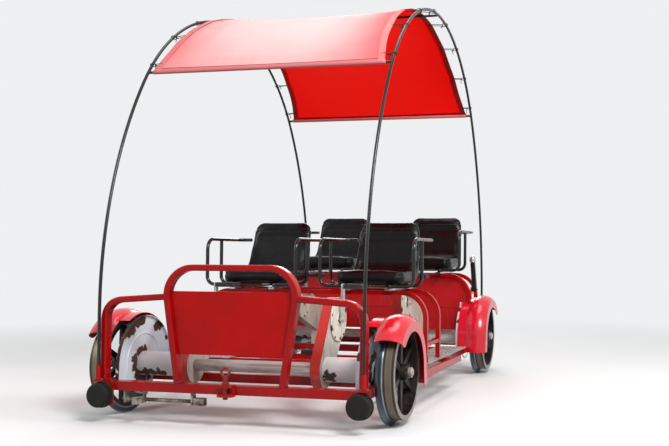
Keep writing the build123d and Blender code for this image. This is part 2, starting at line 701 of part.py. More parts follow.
def pedal(x0, out, y, z):
    """Caged pedal that reaches from x0 towards out, with its spindle along X."""
    end = x0 + out * PEDAL_W
    low, high = min(x0, end), max(x0, end)
    cage = block(low, high, -PEDAL_L / 2, PEDAL_L / 2, -PEDAL_H / 2, PEDAL_H / 2)
    core = PEDAL_SPINDLE_R + PEDAL_CORE / 2
    for side in SIDES:
        cage -= block(low + PEDAL_BAR, high - PEDAL_BAR, side * core, side * (PEDAL_L / 2 - PEDAL_BAR),
                      -PEDAL_H, PEDAL_H)
    cage += rod((x0 - out * (PEDAL_OFF - SEAT_GAP), 0, 0), (x0 + out, 0, 0), PEDAL_SPINDLE_R)
    return Pos(0, y, z) * cage


def pedals(row, side):
    """Both pedals of one crank set."""
    y, z = crank_place(row)
    right, left = crank_arm_x(side)
    return [pedal(right + CRANK_T + PEDAL_OFF, 1, y, z + CRANK_L),
            pedal(left - CRANK_T - PEDAL_OFF, -1, y, z - CRANK_L)]


# Seat frames, wall and steps

def hoop_places(row):
    """Y of the two hoops of a row."""
    first = HOOP_YS[row]
    return first, first + HOOP_SPACING[row]


def hoop_top(row):
    """Top face of a row's hoops."""
    return SEAT_BOTTOM_Z - SEAT_RUNNER_H + row * ROW_RISE


def seat_frame(row):
    """Two hoops across the car, with a tie between their legs where it shows."""
    top = hoop_top(row) - HOOP_TUBE / 2
    foot = FRAME_TOP + SEAT_GAP
    section = Rectangle(HOOP_TUBE, HOOP_TUBE)
    hoops = []
    for y in hoop_places(row):
        hoops.append(bent_tube([(-HOOP_LEG_X, y, foot), (-HOOP_LEG_X, y, top), (HOOP_LEG_X, y, top),
                                (HOOP_LEG_X, y, foot)], HOOP_R, section, (0, 1, 0)))
    if row == 1:
        return hoops
    first, last = hoop_places(row)
    frame = hoops[0] + hoops[1]
    half = HOOP_TUBE / 2 - 2
    for side in SIDES:
        frame += block(side * (HOOP_LEG_X - half), side * (HOOP_LEG_X + half), first, last,
                       TIE_Z, TIE_Z + TIE_H)
    return [frame]


def seat_tracks():
    """Bright tracks under each seat, on top of the hoops."""
    tracks = []
    for row in ROWS:
        first, last = hoop_places(row)
        z = hoop_top(row)
        for side in SIDES:
            for track in SIDES:
                x = side * SEAT_X + track * TRACK_X
                bar = block(x - TRACK_W / 2, x + TRACK_W / 2, first - TRACK_OVER, last + TRACK_OVER,
                            z + SEAT_GAP, z + TRACK_H)
                bar -= block(x - 4, x + 4, first - TRACK_OVER - 1, last + TRACK_OVER + 1,
                             z + TRACK_H - 4, z + TRACK_H + 1)
                tracks.append(bar)
    return tracks


def rear_wall():
    """Sheet inside the rear row's first hoop, cut out round the chain cases."""
    y = hoop_places(1)[0]
    half = HOOP_LEG_X - HOOP_TUBE / 2 - SEAT_GAP
    top = hoop_top(1) - HOOP_TUBE - SEAT_GAP
    corner = HOOP_R - HOOP_TUBE / 2
    outline = (Pos(0, (top + WALL_BOTTOM_Z - corner) / 2)
               * RectangleRounded(2 * half, top - WALL_BOTTOM_Z + corner, corner - 1)
               - Pos(0, WALL_BOTTOM_Z - corner) * Rectangle(2 * half + 2, 2 * corner))
    wall = extrude(Plane.XZ.offset(-y) * outline, SHEET_T / 2, both=True)
    wall += block(-half, half, y - SHEET_T / 2 - WALL_BEAD_H / 2, y, WALL_BEAD_Z, WALL_BEAD_Z + WALL_BEAD_H)
    clear = SLOT_GAP + STRIP_T
    for side in SIDES:
        wall -= side_plate(case_outline(1, clear), side * SEAT_X - STRIP_W / 2 - clear,
                           side * SEAT_X + STRIP_W / 2 + clear)
    guard = RAIL_IN_X - WHEEL_GUARD_T - WHEEL_GUARD_LIP - SLOT_GAP
    for side in SIDES:
        wall -= Pos(side * 2 * guard, HALF_BASE, AXLE_Z) * Rot(0, 90, 0) \
            * Cylinder(BAND_R + SLOT_GAP, 2 * guard)
    return wall


def step_plate(side):
    """Ribbed plate on the frame, cut out round the seat frame's legs."""
    z = FRAME_TOP + SEAT_GAP
    plate = block(STEP_IN_X, STEP_OUT_X, STEP_FRONT_Y, STEP_REAR_Y, z, z + STEP_T)
    x = STEP_IN_X + RIB_PITCH / 2
    while x < STEP_OUT_X - RIB_W:
        plate += block(x - RIB_W / 2, x + RIB_W / 2, STEP_FRONT_Y, STEP_REAR_Y, z + STEP_T / 2,
                       z + STEP_T + RIB_H)
        x += RIB_PITCH
    half = HOOP_TUBE / 2 + SLOT_GAP
    for y in hoop_places(0):
        plate -= block(HOOP_LEG_X - half, HOOP_LEG_X + half, y - half, y + half, z - 1, z + 50)
    return mirrored(plate, Plane.YZ, side < 0)


# Seats

def seat_place(row, side):
    """Middle of the seat's front edge at its underside."""
    return side * SEAT_X, SEAT_FRONT_Y + row * ROW_PITCH, SEAT_BOTTOM_Z + row * ROW_RISE


def seat_shell(row, side):
    """Bucket seat in one piece: dished cushion, curved back and raised rim."""
    depth, height, lip = SEAT_DEPTH, SEAT_H, SEAT_LIP
    outer = make_face([
        Line((22, 0), (depth * 0.66, 0)),
        TangentArc((depth * 0.66, 0), (depth * 0.86, 62), tangent=(1, 0)),
        Line((depth * 0.86, 62), (depth, height - 24)),
        ThreePointArc((depth, height - 24), (depth - 12, height), (depth - 40, height - 10)),
        ThreePointArc((depth - 40, height - 10), (depth * 0.845, height * 0.63), (depth * 0.77, 128)),
        ThreePointArc((depth * 0.77, 128), (depth * 0.71, 86), (depth * 0.55, 68)),
        Line((depth * 0.55, 68), (36, lip)),
        ThreePointArc((36, lip), (3, lip * 0.66), (22, 0))])
    shell = extrude(Plane.YZ.offset(-SEAT_W / 2) * outer, SEAT_W)
    front_view = make_face(Polyline((-SEAT_W / 2, -1), (SEAT_W / 2, -1), (SEAT_W / 2, lip + 30),
                                    (SEAT_BACK_W / 2, height + 1), (-SEAT_BACK_W / 2, height + 1),
                                    (-SEAT_W / 2, lip + 30), close=True))
    front_view = fillet(front_view.vertices().group_by(Axis.Y)[-1], SEAT_CORNER_R)
    top_view = Pos(0, depth / 2) * RectangleRounded(SEAT_W, depth + 2, SEAT_CORNER_R)
    top_view += Pos(0, depth - SEAT_CORNER_R) * Rectangle(SEAT_W, 2 * SEAT_CORNER_R)
    shell &= extrude(Plane.XZ * front_view, -depth - 2, both=True)
    shell &= extrude(Plane.XY.offset(-1) * top_view, height + 3)
    dish = make_face([
        Line((46, lip + 60), (46, lip - SEAT_DISH * 0.4)),
        Line((46, lip - SEAT_DISH * 0.4), (depth * 0.5, 68 - SEAT_DISH)),
        ThreePointArc((depth * 0.5, 68 - SEAT_DISH), (depth * 0.745, 78), (depth * 0.8, 128)),
        Line((depth * 0.8, 128), (depth * 0.87, height * 0.68)),
        ThreePointArc((depth * 0.87, height * 0.68), (depth * 0.86, height * 0.83),
                      (depth * 0.8, height * 0.86)),
        Line((depth * 0.8, height * 0.86), (46, lip + 60))])
    shell -= extrude(Plane.YZ.offset(-SEAT_DISH_W / 2) * dish, SEAT_DISH_W)
    x, y, z = seat_place(row, side)
    return Pos(x, y, z) * shell


def seat_arms(row, side):
    """Tube arms at both sides of a seat, with two legs each that turn in under it."""
    x, y, z = seat_place(row, side)
    foot_z = -ARM_TUBE_R - 1
    runner = TRACK_X + RUNNER_W / 2 - 2
    taper = (ARM_Z - SEAT_LIP - 30) / (SEAT_H - SEAT_LIP - 30)
    back_x = SEAT_W / 2 - (SEAT_W - SEAT_BACK_W) / 2 * taper + 1
    circle = Circle(ARM_TUBE_R)
    arms = []
    for edge in SIDES:
        a = edge * ARM_X
        bar = bent_tube([(edge * back_x, ARM_BACK, ARM_Z), (a, ARM_BACK, ARM_Z),
                         (a, ARM_FRONT, ARM_Z), (a, ARM_FRONT, foot_z),
                         (edge * runner, ARM_FRONT, foot_z), (edge * runner, RUNNER_IN + 4, foot_z)],
                        [38, ARM_TOP_R, ARM_FOOT_R, 22], circle)
        bar += bent_tube([(a, ARM_MID, ARM_Z), (a, ARM_MID, foot_z), (edge * runner, ARM_MID, foot_z)],
                         ARM_FOOT_R, circle)
        arms.append(Pos(x, y, z) * bar)
    return arms


def seat_runner(row, side):
    """Two runners that slide on the tracks, joined by a plate, with a release bar."""
    x, y, z = seat_place(row, side)
    low = TRACK_H - SEAT_RUNNER_H + SEAT_GAP
    rear = SEAT_DEPTH - SEAT_H / 4
    body = block(-TRACK_X, TRACK_X, rear - 90, rear - 30, -8, -SEAT_GAP)
    body += block(-TRACK_X, TRACK_X, RUNNER_IN + 20, RUNNER_IN + 70, -8, -SEAT_GAP)
    for track in SIDES:
        t = track * TRACK_X
        runner = block(t - RUNNER_W / 2, t + RUNNER_W / 2, RUNNER_IN, rear, low, -SEAT_GAP)
        body += runner
    lever_r = 5.0
    body += bent_tube([(-TRACK_X + 20, RUNNER_IN + 40, -12), (-TRACK_X + 20, -12, -12),
                       (TRACK_X - 20, -12, -12), (TRACK_X - 20, RUNNER_IN + 40, -12)],
                      [16, 16], Circle(lever_r))
    feet = seat_arms(row, side)
    body = Pos(x, y, z) * body
    for arm in feet:
        body -= arm
    return body.solids().sort_by(SortBy.VOLUME)[-1]


# Canopy

def canopy_point(angle, shift=0.0):
    """Y and Z on the hoop's line at an angle from its top, moved out by a shift."""
    top = radians(CANOPY_TOP_ANGLE)
    a = radians(angle)
    if angle <= CANOPY_TOP_ANGLE:
        r = CANOPY_TOP_R + shift
        return r * sin(a), CANOPY_TOP_Z - CANOPY_TOP_R + r * cos(a)
    step = CANOPY_TOP_R - CANOPY_LEG_R
    r = CANOPY_LEG_R + shift
    return step * sin(top) + r * sin(a), CANOPY_TOP_Z - CANOPY_TOP_R + step * cos(top) + r * cos(a)


def canopy_arcs(limit, shift):
    """Arcs of the hoop's line, as Y and Z, between an angle before and behind its top."""
    inner = min(limit, CANOPY_TOP_ANGLE)

    def at(angle, sign):
        """Point of the line at an angle, before or behind the top."""
        y, z = canopy_point(angle, shift)
        return (sign * y, z)

    arcs = [ThreePointArc(at(inner, -1), at(0, 1), at(inner, 1))]
    if limit > inner:
        middle = (inner + limit) / 2
        arcs = [ThreePointArc(at(limit, -1), at(middle, -1), at(inner, -1)), *arcs,
                ThreePointArc(at(inner, 1), at(middle, 1), at(limit, 1))]
    return arcs


def shoe_top():
    """Top face of the plates that the canopy's sockets stand on."""
    return FRAME_TOP - 2 + SHOE_T


def canopy_hoops():
    """Two bent rods, one at each side, from the front sockets to the rear posts."""
    foot_y, leg_z = canopy_point(90)
    front_z = shoe_top() + SEAT_GAP
    rear_z = shoe_top() + SOCKET_REAR_L - ROD_IN_REAR
    line = [Line((-foot_y, front_z), (-foot_y, leg_z)), *canopy_arcs(90, 0.0),
            Line((foot_y, leg_z), (foot_y, rear_z))]
    path = Plane.YZ * Wire([edge.edge() for edge in line])
    start = Plane(origin=path @ 0, z_dir=path % 0)
    hoop = sweep(start * Circle(CANOPY_ROD_R), path=path)
    return [Pos(side * CANOPY_X, 0, 0) * hoop for side in SIDES]


def hoop_sockets():
    """Tubes that hold the hoops' legs: short in front, long posts at the rear."""
    outer_r = CANOPY_ROD_R + SEAT_GAP + SOCKET_WALL
    foot = shoe_top() + SEAT_GAP
    sockets = []
    for end, length in ((-1, SOCKET_FRONT_L), (1, SOCKET_REAR_L)):
        top_z = shoe_top() + length
        y = end * CANOPY_FOOT_Y
        bore_z = foot - 1 if end < 0 else top_z - ROD_IN_REAR - 2
        socket = rod((CANOPY_X, y, foot), (CANOPY_X, y, top_z), outer_r) \
            - rod((CANOPY_X, y, bore_z), (CANOPY_X, y, top_z + 1), CANOPY_ROD_R + SEAT_GAP)
        sockets += [socket, socket.mirror(Plane.YZ)]
    return sockets


def canopy_bars():
    """Thin bars across the car at both eaves and at the ridge."""
    half = CANOPY_X - CANOPY_ROD_R - SEAT_GAP
    bars = []
    for angle, sign in ((EAVE_ANGLE, -1), (0, 1), (EAVE_ANGLE, 1)):
        y, z = canopy_point(angle)
        bars.append(rod((-half, sign * y, z), (half, sign * y, z), BAR_R))
    return bars


def canopy_cloth():
    """Sheet over the bars, from eave to eave."""
    low, high = BAR_R + SEAT_GAP, BAR_R + SEAT_GAP + CLOTH_T
    edges = [edge for shift in (low, high) for arc in canopy_arcs(EAVE_ANGLE, shift)
             for edge in arc.edges()]
    for sign in SIDES:
        ends = [canopy_point(EAVE_ANGLE, shift) for shift in (low, high)]
        edges.append(Line(*[(sign * y, z) for y, z in ends]).edge())
    return extrude(Plane.YZ.offset(-CLOTH_HALF) * make_face(edges), 2 * CLOTH_HALF)


# Hand brake

def brake_pivot():
    """Point of the brake lever's pivot, on the right-hand rear frame hoop."""
    y = hoop_places(1)[0] + HOOP_TUBE / 2 + BRAKE_BEHIND_HOOP
    return HOOP_LEG_X + HOOP_TUBE / 2, y, BRAKE_PIVOT_Z


def brake_bracket():
    """Plate on the hoop's leg with the lever's pin."""
    x, y, z = brake_pivot()
    plate = block(x + SEAT_GAP, x + 5, y - 44, y + 16, z - 32, z + 18)
    plate += block(x + SEAT_GAP, x + 5, y - 42, y - 18, z - 60, z - 30)
    return plate + rod((x + 4, y, z), (x + 5 + 1 + BRAKE_LEVER_W + 5, y, z), BRAKE_PIN_R)


def brake_lever():
    """Lever with its eye on the pin, and the grip's core."""
    x, y, z = brake_pivot()
    x0 = x + 6
    outline = make_hull(Circle(15).edges() + (Pos(0, BRAKE_LEVER_L) * Circle(BRAKE_LEVER_T / 2 + 2)).edges())
    lever = side_plate(outline, x0, x0 + BRAKE_LEVER_W)
    lever -= Pos(x0 + BRAKE_LEVER_W / 2, 0, 0) * Rot(0, 90, 0) * Cylinder(BRAKE_PIN_R + 0.1, 2 * BRAKE_LEVER_W)
    return Pos(0, y, z) * Rot(BRAKE_LEAN, 0, 0) * lever


def brake_grip():
    """Bright winged cap on the lever's top."""
    x, y, z = brake_pivot()
    middle = x + 6 + BRAKE_LEVER_W / 2
    start = BRAKE_LEVER_L + BRAKE_LEVER_T / 2 + 2 + SEAT_GAP
    profile = Polyline((0, start), (BRAKE_GRIP_R - 7, start), (BRAKE_GRIP_R, start + 9),
                       (BRAKE_GRIP_R - 3, start + BRAKE_GRIP_L - 10),
                       (BRAKE_GRIP_R - 12, start + BRAKE_GRIP_L), (0, start + BRAKE_GRIP_L), close=True)
    cap = revolve(Plane.XZ * make_face(profile), Axis.Z)
    return Pos(middle, y, z) * Rot(BRAKE_LEAN, 0, 0) * cap


# Brake rigging under the front beam

def brake_rigging():
    """Hangers under the frame with a cross rod, an arm and an adjuster block."""
    y = -BEAM_IN_Y - RIG_BACK
    z_rod = FRAME_BOTTOM - RIG_DROP
    rig = rod((-RIG_OUT_X, y, z_rod), (-RIG_IN_X, y, z_rod), RIG_ROD_R)
    for x in RIG_HANGERS:
        rig += block(-x - RIG_HANGER_T / 2, -x + RIG_HANGER_T / 2, y - RIG_HANGER_W / 2,
                     y + RIG_HANGER_W / 2, z_rod - RIG_ROD_R - RIG_HANGER_T, FRAME_BOTTOM - SEAT_GAP)
    rig += block(-RIG_ARM_X - RIG_ARM_W / 2, -RIG_ARM_X + RIG_ARM_W / 2, y + RIG_ROD_R - RIG_ARM_L,
                 y + RIG_ROD_R, z_rod - RIG_ARM_W / 2, z_rod + RIG_ARM_W / 2)
    rig += block(-RIG_BLOCK_X - RIG_BLOCK_W / 2, -RIG_BLOCK_X + RIG_BLOCK_W / 2, y - RIG_BLOCK_H / 2,
                 y + RIG_BLOCK_H / 2, z_rod - RIG_BLOCK_H / 2, z_rod + RIG_BLOCK_H / 2)
    return rig


PARTS = {
    "base_frame": [base_frame()],
    "front_guard": [front_guard()],
    "front_panel": [front_panel()],
    "bearing_blocks": bearing_blocks(),
    "buffer_pads": buffer_pads(),
    "buffer_rings": buffer_rings(),
    "couplings": couplings(),
    "coupling_pin": [coupling_pin()],
    "axle_covers": axle_covers(),
    "seat_frame_front": seat_frame(0),
    "seat_frame_rear": seat_frame(1),
    "seat_tracks": seat_tracks(),
    "rear_wall": [rear_wall()],
    "step_plates": [step_plate(side) for side in SIDES],
    "canopy_hoops": canopy_hoops(),
    "hoop_sockets": hoop_sockets(),
    "canopy_bars": canopy_bars(),
    "canopy_cloth": [canopy_cloth()],
    "brake_bracket": [brake_bracket()],
    "brake_lever": [brake_lever()],
    "brake_grip": [brake_grip()],
    "brake_rigging": [brake_rigging()],
    "chain_cases": [chain_case(row, side) for row in ROWS for side in SIDES],
    "case_strips": [case_strip(row, side) for row in ROWS for side in SIDES],
    "crank_discs": [crank_disc(row, side) for row in ROWS for side in SIDES],
    "wheel_guards": [wheel_guard(end, side) for end in ENDS for side in SIDES],
}

for row in ROWS:
    end = ENDS[row]
    PARTS[f"{ROW_NAME[row]}_axle"] = [axle(end)]
    PARTS[f"{ROW_NAME[row]}_wheels"] = wheel_pair(end)
    PARTS[f"{ROW_NAME[row]}_fenders"] = [fender(end, side) for side in SIDES]
    for side in SIDES:
        place = f"{ROW_NAME[row]}_{SIDE_NAME[side]}"
        PARTS[f"seat_shell_{place}"] = [seat_shell(row, side)]
        PARTS[f"seat_arms_{place}"] = seat_arms(row, side)
        PARTS[f"seat_runner_{place}"] = [seat_runner(row, side)]
        PARTS[f"crank_{place}"] = [crank_set(row, side)]
        PARTS[f"pedals_{place}"] = pedals(row, side)

for name, pieces in PARTS.items():
    solids = [solid for piece in pieces for solid in piece.solids()]
    export_step(Compound(children=solids) if len(solids) > 1 else solids[0], f"parts/{name}.step")
    print(name, len(solids))
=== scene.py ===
"""Finish, awning, seat pads and small fittings of a four-seat pedal handcar for the railway."""
import logging
import math
import random
from dataclasses import dataclass, field
from enum import Enum
from functools import cache
from typing import Any, Iterable, Sequence

import bmesh
import bpy
from bpy.types import GeometryNodeTree, Material, Mesh, Node, NodeSocket, NodeTree, Object
from mathutils import Matrix, Vector


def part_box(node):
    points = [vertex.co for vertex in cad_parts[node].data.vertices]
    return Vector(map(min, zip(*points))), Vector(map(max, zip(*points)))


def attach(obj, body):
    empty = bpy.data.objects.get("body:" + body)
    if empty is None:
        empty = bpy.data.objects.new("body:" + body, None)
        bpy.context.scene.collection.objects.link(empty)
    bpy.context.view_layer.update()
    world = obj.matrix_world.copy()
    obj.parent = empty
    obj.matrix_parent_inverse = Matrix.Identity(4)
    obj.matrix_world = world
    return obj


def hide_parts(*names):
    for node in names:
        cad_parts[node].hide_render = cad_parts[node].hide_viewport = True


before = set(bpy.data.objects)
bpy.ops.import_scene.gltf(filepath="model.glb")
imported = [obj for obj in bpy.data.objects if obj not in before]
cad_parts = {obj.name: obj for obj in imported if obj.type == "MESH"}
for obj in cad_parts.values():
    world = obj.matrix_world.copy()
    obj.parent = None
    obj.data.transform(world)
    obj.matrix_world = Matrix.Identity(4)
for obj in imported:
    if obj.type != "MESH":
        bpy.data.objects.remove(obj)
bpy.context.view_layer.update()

log = logging.getLogger("handcar")
NODES: dict[str, Object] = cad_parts
Source = Node | NodeSocket
Pair = tuple[float, float]
Triple = tuple[float, float, float]
Row = tuple[float, float, float, float]

# Sockets of the Mix node that share a name
MIX_FACTOR, FLOAT_A, FLOAT_B, COLOR_A, COLOR_B = 0, 2, 3, 6, 7

CHASSIS = "chassis"
PLACES = ("front_left", "front_right", "rear_left", "rear_right")
ENDS = {"front": -1, "rear": 1}
UP = Vector((0, 0, 1))

# Where the axles and the crank spindles lie, in metres along the car and above the flanges
AXLE_Y, AXLE_Z = 1.0, 0.25
SPINDLES = ((-0.85, 0.48), (0.37, 0.50))


class Side(Enum):
    """Side of the car, with its sign along X."""

    LEFT = -1
    RIGHT = 1


def linear(code: str) -> tuple[float, float, float, float]:
    """Turns an sRGB hex colour to linear light.

    Args:
        code: colour such as "#c01a1a".

    Returns:
        Red, green and blue in linear light, and an alpha of 1.
    """
    parts = [int(code[i:i + 2], 16) / 255 for i in (1, 3, 5)]
    red, green, blue = (c / 12.92 if c <= 0.04045 else ((c + 0.055) / 1.055) ** 2.4 for c in parts)
    return red, green, blue, 1.0


def polar(turn: float, reach: float) -> Pair:
    """Gives the two coordinates of a point on a circle, from its angle in degrees."""
    return reach * math.cos(math.radians(turn)), reach * math.sin(math.radians(turn))


def add_node(tree: NodeTree, kind: str, inputs: dict | None = None, **settings: Any) -> Node:
    """Adds a node with its settings, values and links.

    Args:
        tree: tree that gets the node.
        kind: type name of the node.
        inputs: a value, a socket, or a node for its first output in use, by input name or number.
        **settings: properties of the node.

    Returns:
        The new node.
    """
    node = tree.nodes.new(kind)
    for name, value in settings.items():
        setattr(node, name, value)
    for key, value in (inputs or {}).items():
        if isinstance(value, Node):
            value = next(output for output in value.outputs if output.enabled)
        if isinstance(value, NodeSocket):
            tree.links.new(value, node.inputs[key])
        else:
            node.inputs[key].default_value = value
    return node


def place_object(name: str, data: Any) -> Object:
    """Makes an object from its data and links it to the scene."""
    made = bpy.data.objects.new(name, data)
    bpy.context.scene.collection.objects.link(made)
    return made


@dataclass(frozen=True)
class Layer:
    """What covers a surface where its mask is 1: colour, roughness, metal and height in metres."""

    mask: Source
    color: str
    roughness: float
    metal: float = 0.0
    height: float = 0.0


@dataclass(frozen=True)
class Spot:
    """Place where wear gathers: a centre in metres and how far it reaches."""

    x: float
    y: float
    z: float
    reach: float


class Canvas:
    """Node tree of one material, with patterns drawn on object coordinates."""

    fray: float = 0.7
    worn_edge: float = 0.04

    def __init__(self, name: str) -> None:
        """Starts an empty material with that name."""
        self.material = bpy.data.materials.new(name)
        self.material.use_nodes = True
        self.tree = self.material.node_tree
        self.tree.nodes.clear()
        self.point = self.add("ShaderNodeTexCoord").outputs["Object"]

    def add(self, kind: str, inputs: dict | None = None, **settings: Any) -> Node:
        """Adds a node to this material's tree, as add_node does."""
        return add_node(self.tree, kind, inputs, **settings)

    def blotches(self, size: float, low: float = 0.42, high: float = 0.58, detail: float = 4.0,
                 stretch: Sequence[float] = (1.0, 1.0, 1.0)) -> Source:
        """Draws cloudy patches.

        Args:
            size: width of a patch in metres.
            low: noise level that becomes 0.
            high: noise level that becomes 1.
            detail: how many finer layers the noise has.
            stretch: how much longer a patch is along each axis.

        Returns:
            Factor from 0 to 1.
        """
        scale = [1 / (size * longer) for longer in stretch]
        point = self.add("ShaderNodeMapping", {"Vector": self.point, "Scale": scale})
        noise = self.add("ShaderNodeTexNoise", {
            "Vector": point, "Scale": 1.0, "Detail": detail, "Roughness": 0.6})
        return self.add("ShaderNodeMapRange", {"Value": noise, "From Min": low, "From Max": high})

    def around(self, spots: Iterable[Spot], all_corners: bool = False,
               lone: Iterable[Spot] = ()) -> Source:
        """Draws a glow at each spot, 1 at its centre and 0 at its reach.

        Args:
            spots: the places.
            all_corners: repeats them at all four corners of the car.
            lone: more places, which are never repeated.

        Returns:
            Factor from 0 to 1.
        """
        point = self.point
        if all_corners:
            point = self.add("ShaderNodeVectorMath", {0: point}, operation="ABSOLUTE")
        total = 0.0
        for start, spot in [(point, s) for s in spots] + [(self.point, s) for s in lone]:
            apart = self.add("ShaderNodeVectorMath", {0: start, 1: (spot.x, spot.y, spot.z)},
                             operation="DISTANCE")
            glow = self.add("ShaderNodeMapRange", {
                "Value": apart, "From Min": spot.reach, "From Max": 0.0})
            total = self.add("ShaderNodeMath", {0: total, 1: glow}, operation="MAXIMUM")
        return total

    def above(self, factor: Source, low: float, high: float) -> Source:
        """Ramps a factor softly from 0 at low to 1 at high."""
        return self.add("ShaderNodeMapRange", {"Value": factor, "From Min": low, "From Max": high},
                        interpolation_type="SMOOTHSTEP")

    def overlap(self, *masks: Source | float) -> Source:
        """Multiplies masks, so that what is left is where all of them hold."""
        total, *others = masks
        for mask in others:
            total = self.add("ShaderNodeMath", {0: total, 1: mask}, operation="MULTIPLY")
        return total

    def worn(self, pattern: Source, near: Source, share: float) -> Source:
        """Makes a hard-edged mask round the places that wear, with an outline that a pattern frays.

        Args:
            pattern: noise from 0 to 1.
            near: where the wear gathers, from 0 to 1; nothing wears where it is 0.
            share: how much of a spot is worn, from 0 to 1.

        Returns:
            The mask.
        """
        total = self.add("ShaderNodeMath", {0: pattern, 1: self.fray, 2: near},
                         operation="MULTIPLY_ADD")
        level = 1.35 - share * 0.6
        worn = self.above(total, level - self.worn_edge, level + self.worn_edge)
        return self.overlap(worn, self.above(near, 0.0, 0.1))

    def finish(self, color: str, roughness: float, metal: float = 0.0,
               layers: Sequence[Layer] = (), grain: Pair | None = None,
               relief: Source | None = None, through: float = 0.0, **shader: float) -> Material:
        """Joins the base and its layers to the shader.

        Args:
            color: base colour.
            roughness: base roughness.
            metal: base metal share.
            layers: what lies over the base, from below.
            grain: size and depth of the surface's unevenness in metres.
            relief: more height, in metres.
            through: share of light that shines through the stuff.
            **shader: further shader inputs, with a line for each space.

        Returns:
            The finished material.
        """
        values = {"Base Color": linear(color), "Roughness": roughness, "Metallic": metal}
        for layer in layers:
            for name, value in (("Base Color", linear(layer.color)),
                                ("Roughness", layer.roughness), ("Metallic", layer.metal)):
                below = values[name]
                if value == below:
                    continue
                kind, first, second = (("RGBA", COLOR_A, COLOR_B) if name == "Base Color"
                                       else ("FLOAT", FLOAT_A, FLOAT_B))
                values[name] = self.add("ShaderNodeMix", {
                    MIX_FACTOR: layer.mask, first: below, second: value}, data_type=kind)
        steps = [(layer.mask, layer.height) for layer in layers if layer.height]
        if grain:
            size, depth = grain
            steps.append((self.blotches(size, 0.3, 0.7, detail=2.0), depth))
        height = relief
        for mask, depth in steps:
            height = self.add("ShaderNodeMath", {0: mask, 1: depth, 2: height or 0.0},
                              operation="MULTIPLY_ADD")
        if height:
            values["Normal"] = self.add("ShaderNodeBump", {
                "Height": height, "Strength": 1.0, "Distance": 1.0})
        values.update({name.replace("_", " "): value for name, value in shader.items()})
        surface = self.add("ShaderNodeBsdfPrincipled", values)
        if through:
            glow = self.add("ShaderNodeBsdfTranslucent", {"Color": values["Base Color"]})
            surface = self.add("ShaderNodeMixShader", {0: through, 1: surface, 2: glow})
        self.add("ShaderNodeOutputMaterial", {"Surface": surface})
        return self.material


@dataclass(frozen=True)
class Enamel:
    """Enamel on steel, brushed or sprayed: glossy film that fades, chips and lets rust through."""

    name: str
    color: str
    second_tone: str
    fade_size: float = 0.30
    roughness: float = 0.32
    coat: float = 0.35
    chips: float = 0.30
    chip_size: float = 0.018
    chip_color: str = "#3b2219"
    rust: float = 0.0
    rust_size: float = 0.07
    rust_color: str = "#1f0f0b"
    fresh_rust: str = "#56301d"
    spots: tuple[Spot, ...] = ()
    all_corners: bool = False
    lone_spots: tuple[Spot, ...] = ()
    shine: float = 0.5
    dirt: str = "#5a4a3c"
    dirt_top: float = 0.0
    streaks: float = 0.0
    film: float = 0.0004
    brush_marks: Pair = (0.006, 0.00006)

    def build(self) -> Material:
        """Makes the material."""
        canvas = Canvas(self.name)
        second_tone_mask = canvas.blotches(self.fade_size, 0.35, 0.65)
        layers = [Layer(second_tone_mask, self.second_tone, self.roughness)]
        if self.streaks:
            run = canvas.blotches(0.018, 0.58 - self.streaks * 0.2, 0.75, stretch=(1, 1, 9))
            layers.append(Layer(run, self.dirt, 0.6))
        if self.dirt_top:
            height = canvas.add("ShaderNodeSeparateXYZ", {0: canvas.point}).outputs["Z"]
            low = canvas.above(height, self.dirt_top, 0.02)
            dust = canvas.blotches(0.05, 0.35, 0.75)
            layers.append(Layer(canvas.overlap(low, dust), self.dirt, 0.8))
        level = 0.74 - self.chips * 0.2
        chip = canvas.blotches(self.chip_size, level, level + 0.04)
        layers.append(Layer(chip, self.chip_color, 0.75, height=-self.film))
        if self.spots:
            pattern = canvas.blotches(self.rust_size, 0.3, 0.7, detail=6.0)
            near = canvas.around(self.spots, self.all_corners, self.lone_spots)
            mask = canvas.worn(pattern, near, self.rust)
            inner = canvas.blotches(self.rust_size / 5, 0.45, 0.6, detail=6.0)
            layers += [Layer(mask, self.rust_color, 0.85, height=-self.film),
                       Layer(canvas.overlap(mask, inner), self.fresh_rust, 0.9)]
        return canvas.finish(self.color, self.roughness, layers=layers, grain=self.brush_marks,
                             Coat_Weight=self.coat, Coat_Roughness=0.12,
                             Specular_IOR_Level=self.shine)


@dataclass(frozen=True)
class Steel:
    """Bare steel: turned, rolled or plated, with brush lines, smears and specks of rust."""

    name: str
    color: str
    stain: str
    roughness: float = 0.3
    metal: float = 1.0
    stain_size: float = 0.05
    stain_share: float = 0.4
    specks: float = 0.2
    speck_color: str = "#4a2817"
    lines: Triple = (1.0, 1.0, 1.0)
    texture: Pair = (0.003, 0.00005)

    def build(self) -> Material:
        """Makes the material."""
        canvas = Canvas(self.name)
        middle = 0.65 - self.stain_share * 0.3
        smear = canvas.blotches(self.stain_size, middle - 0.12, middle + 0.12, stretch=self.lines)
        level = 0.76 - self.specks * 0.2
        speck = canvas.blotches(0.007, level, level + 0.04)
        layers = [Layer(smear, self.stain, min(self.roughness + 0.25, 1), metal=self.metal * 0.75),
                  Layer(speck, self.speck_color, 0.85, metal=0.1)]
        return canvas.finish(self.color, self.roughness, self.metal, layers, grain=self.texture)


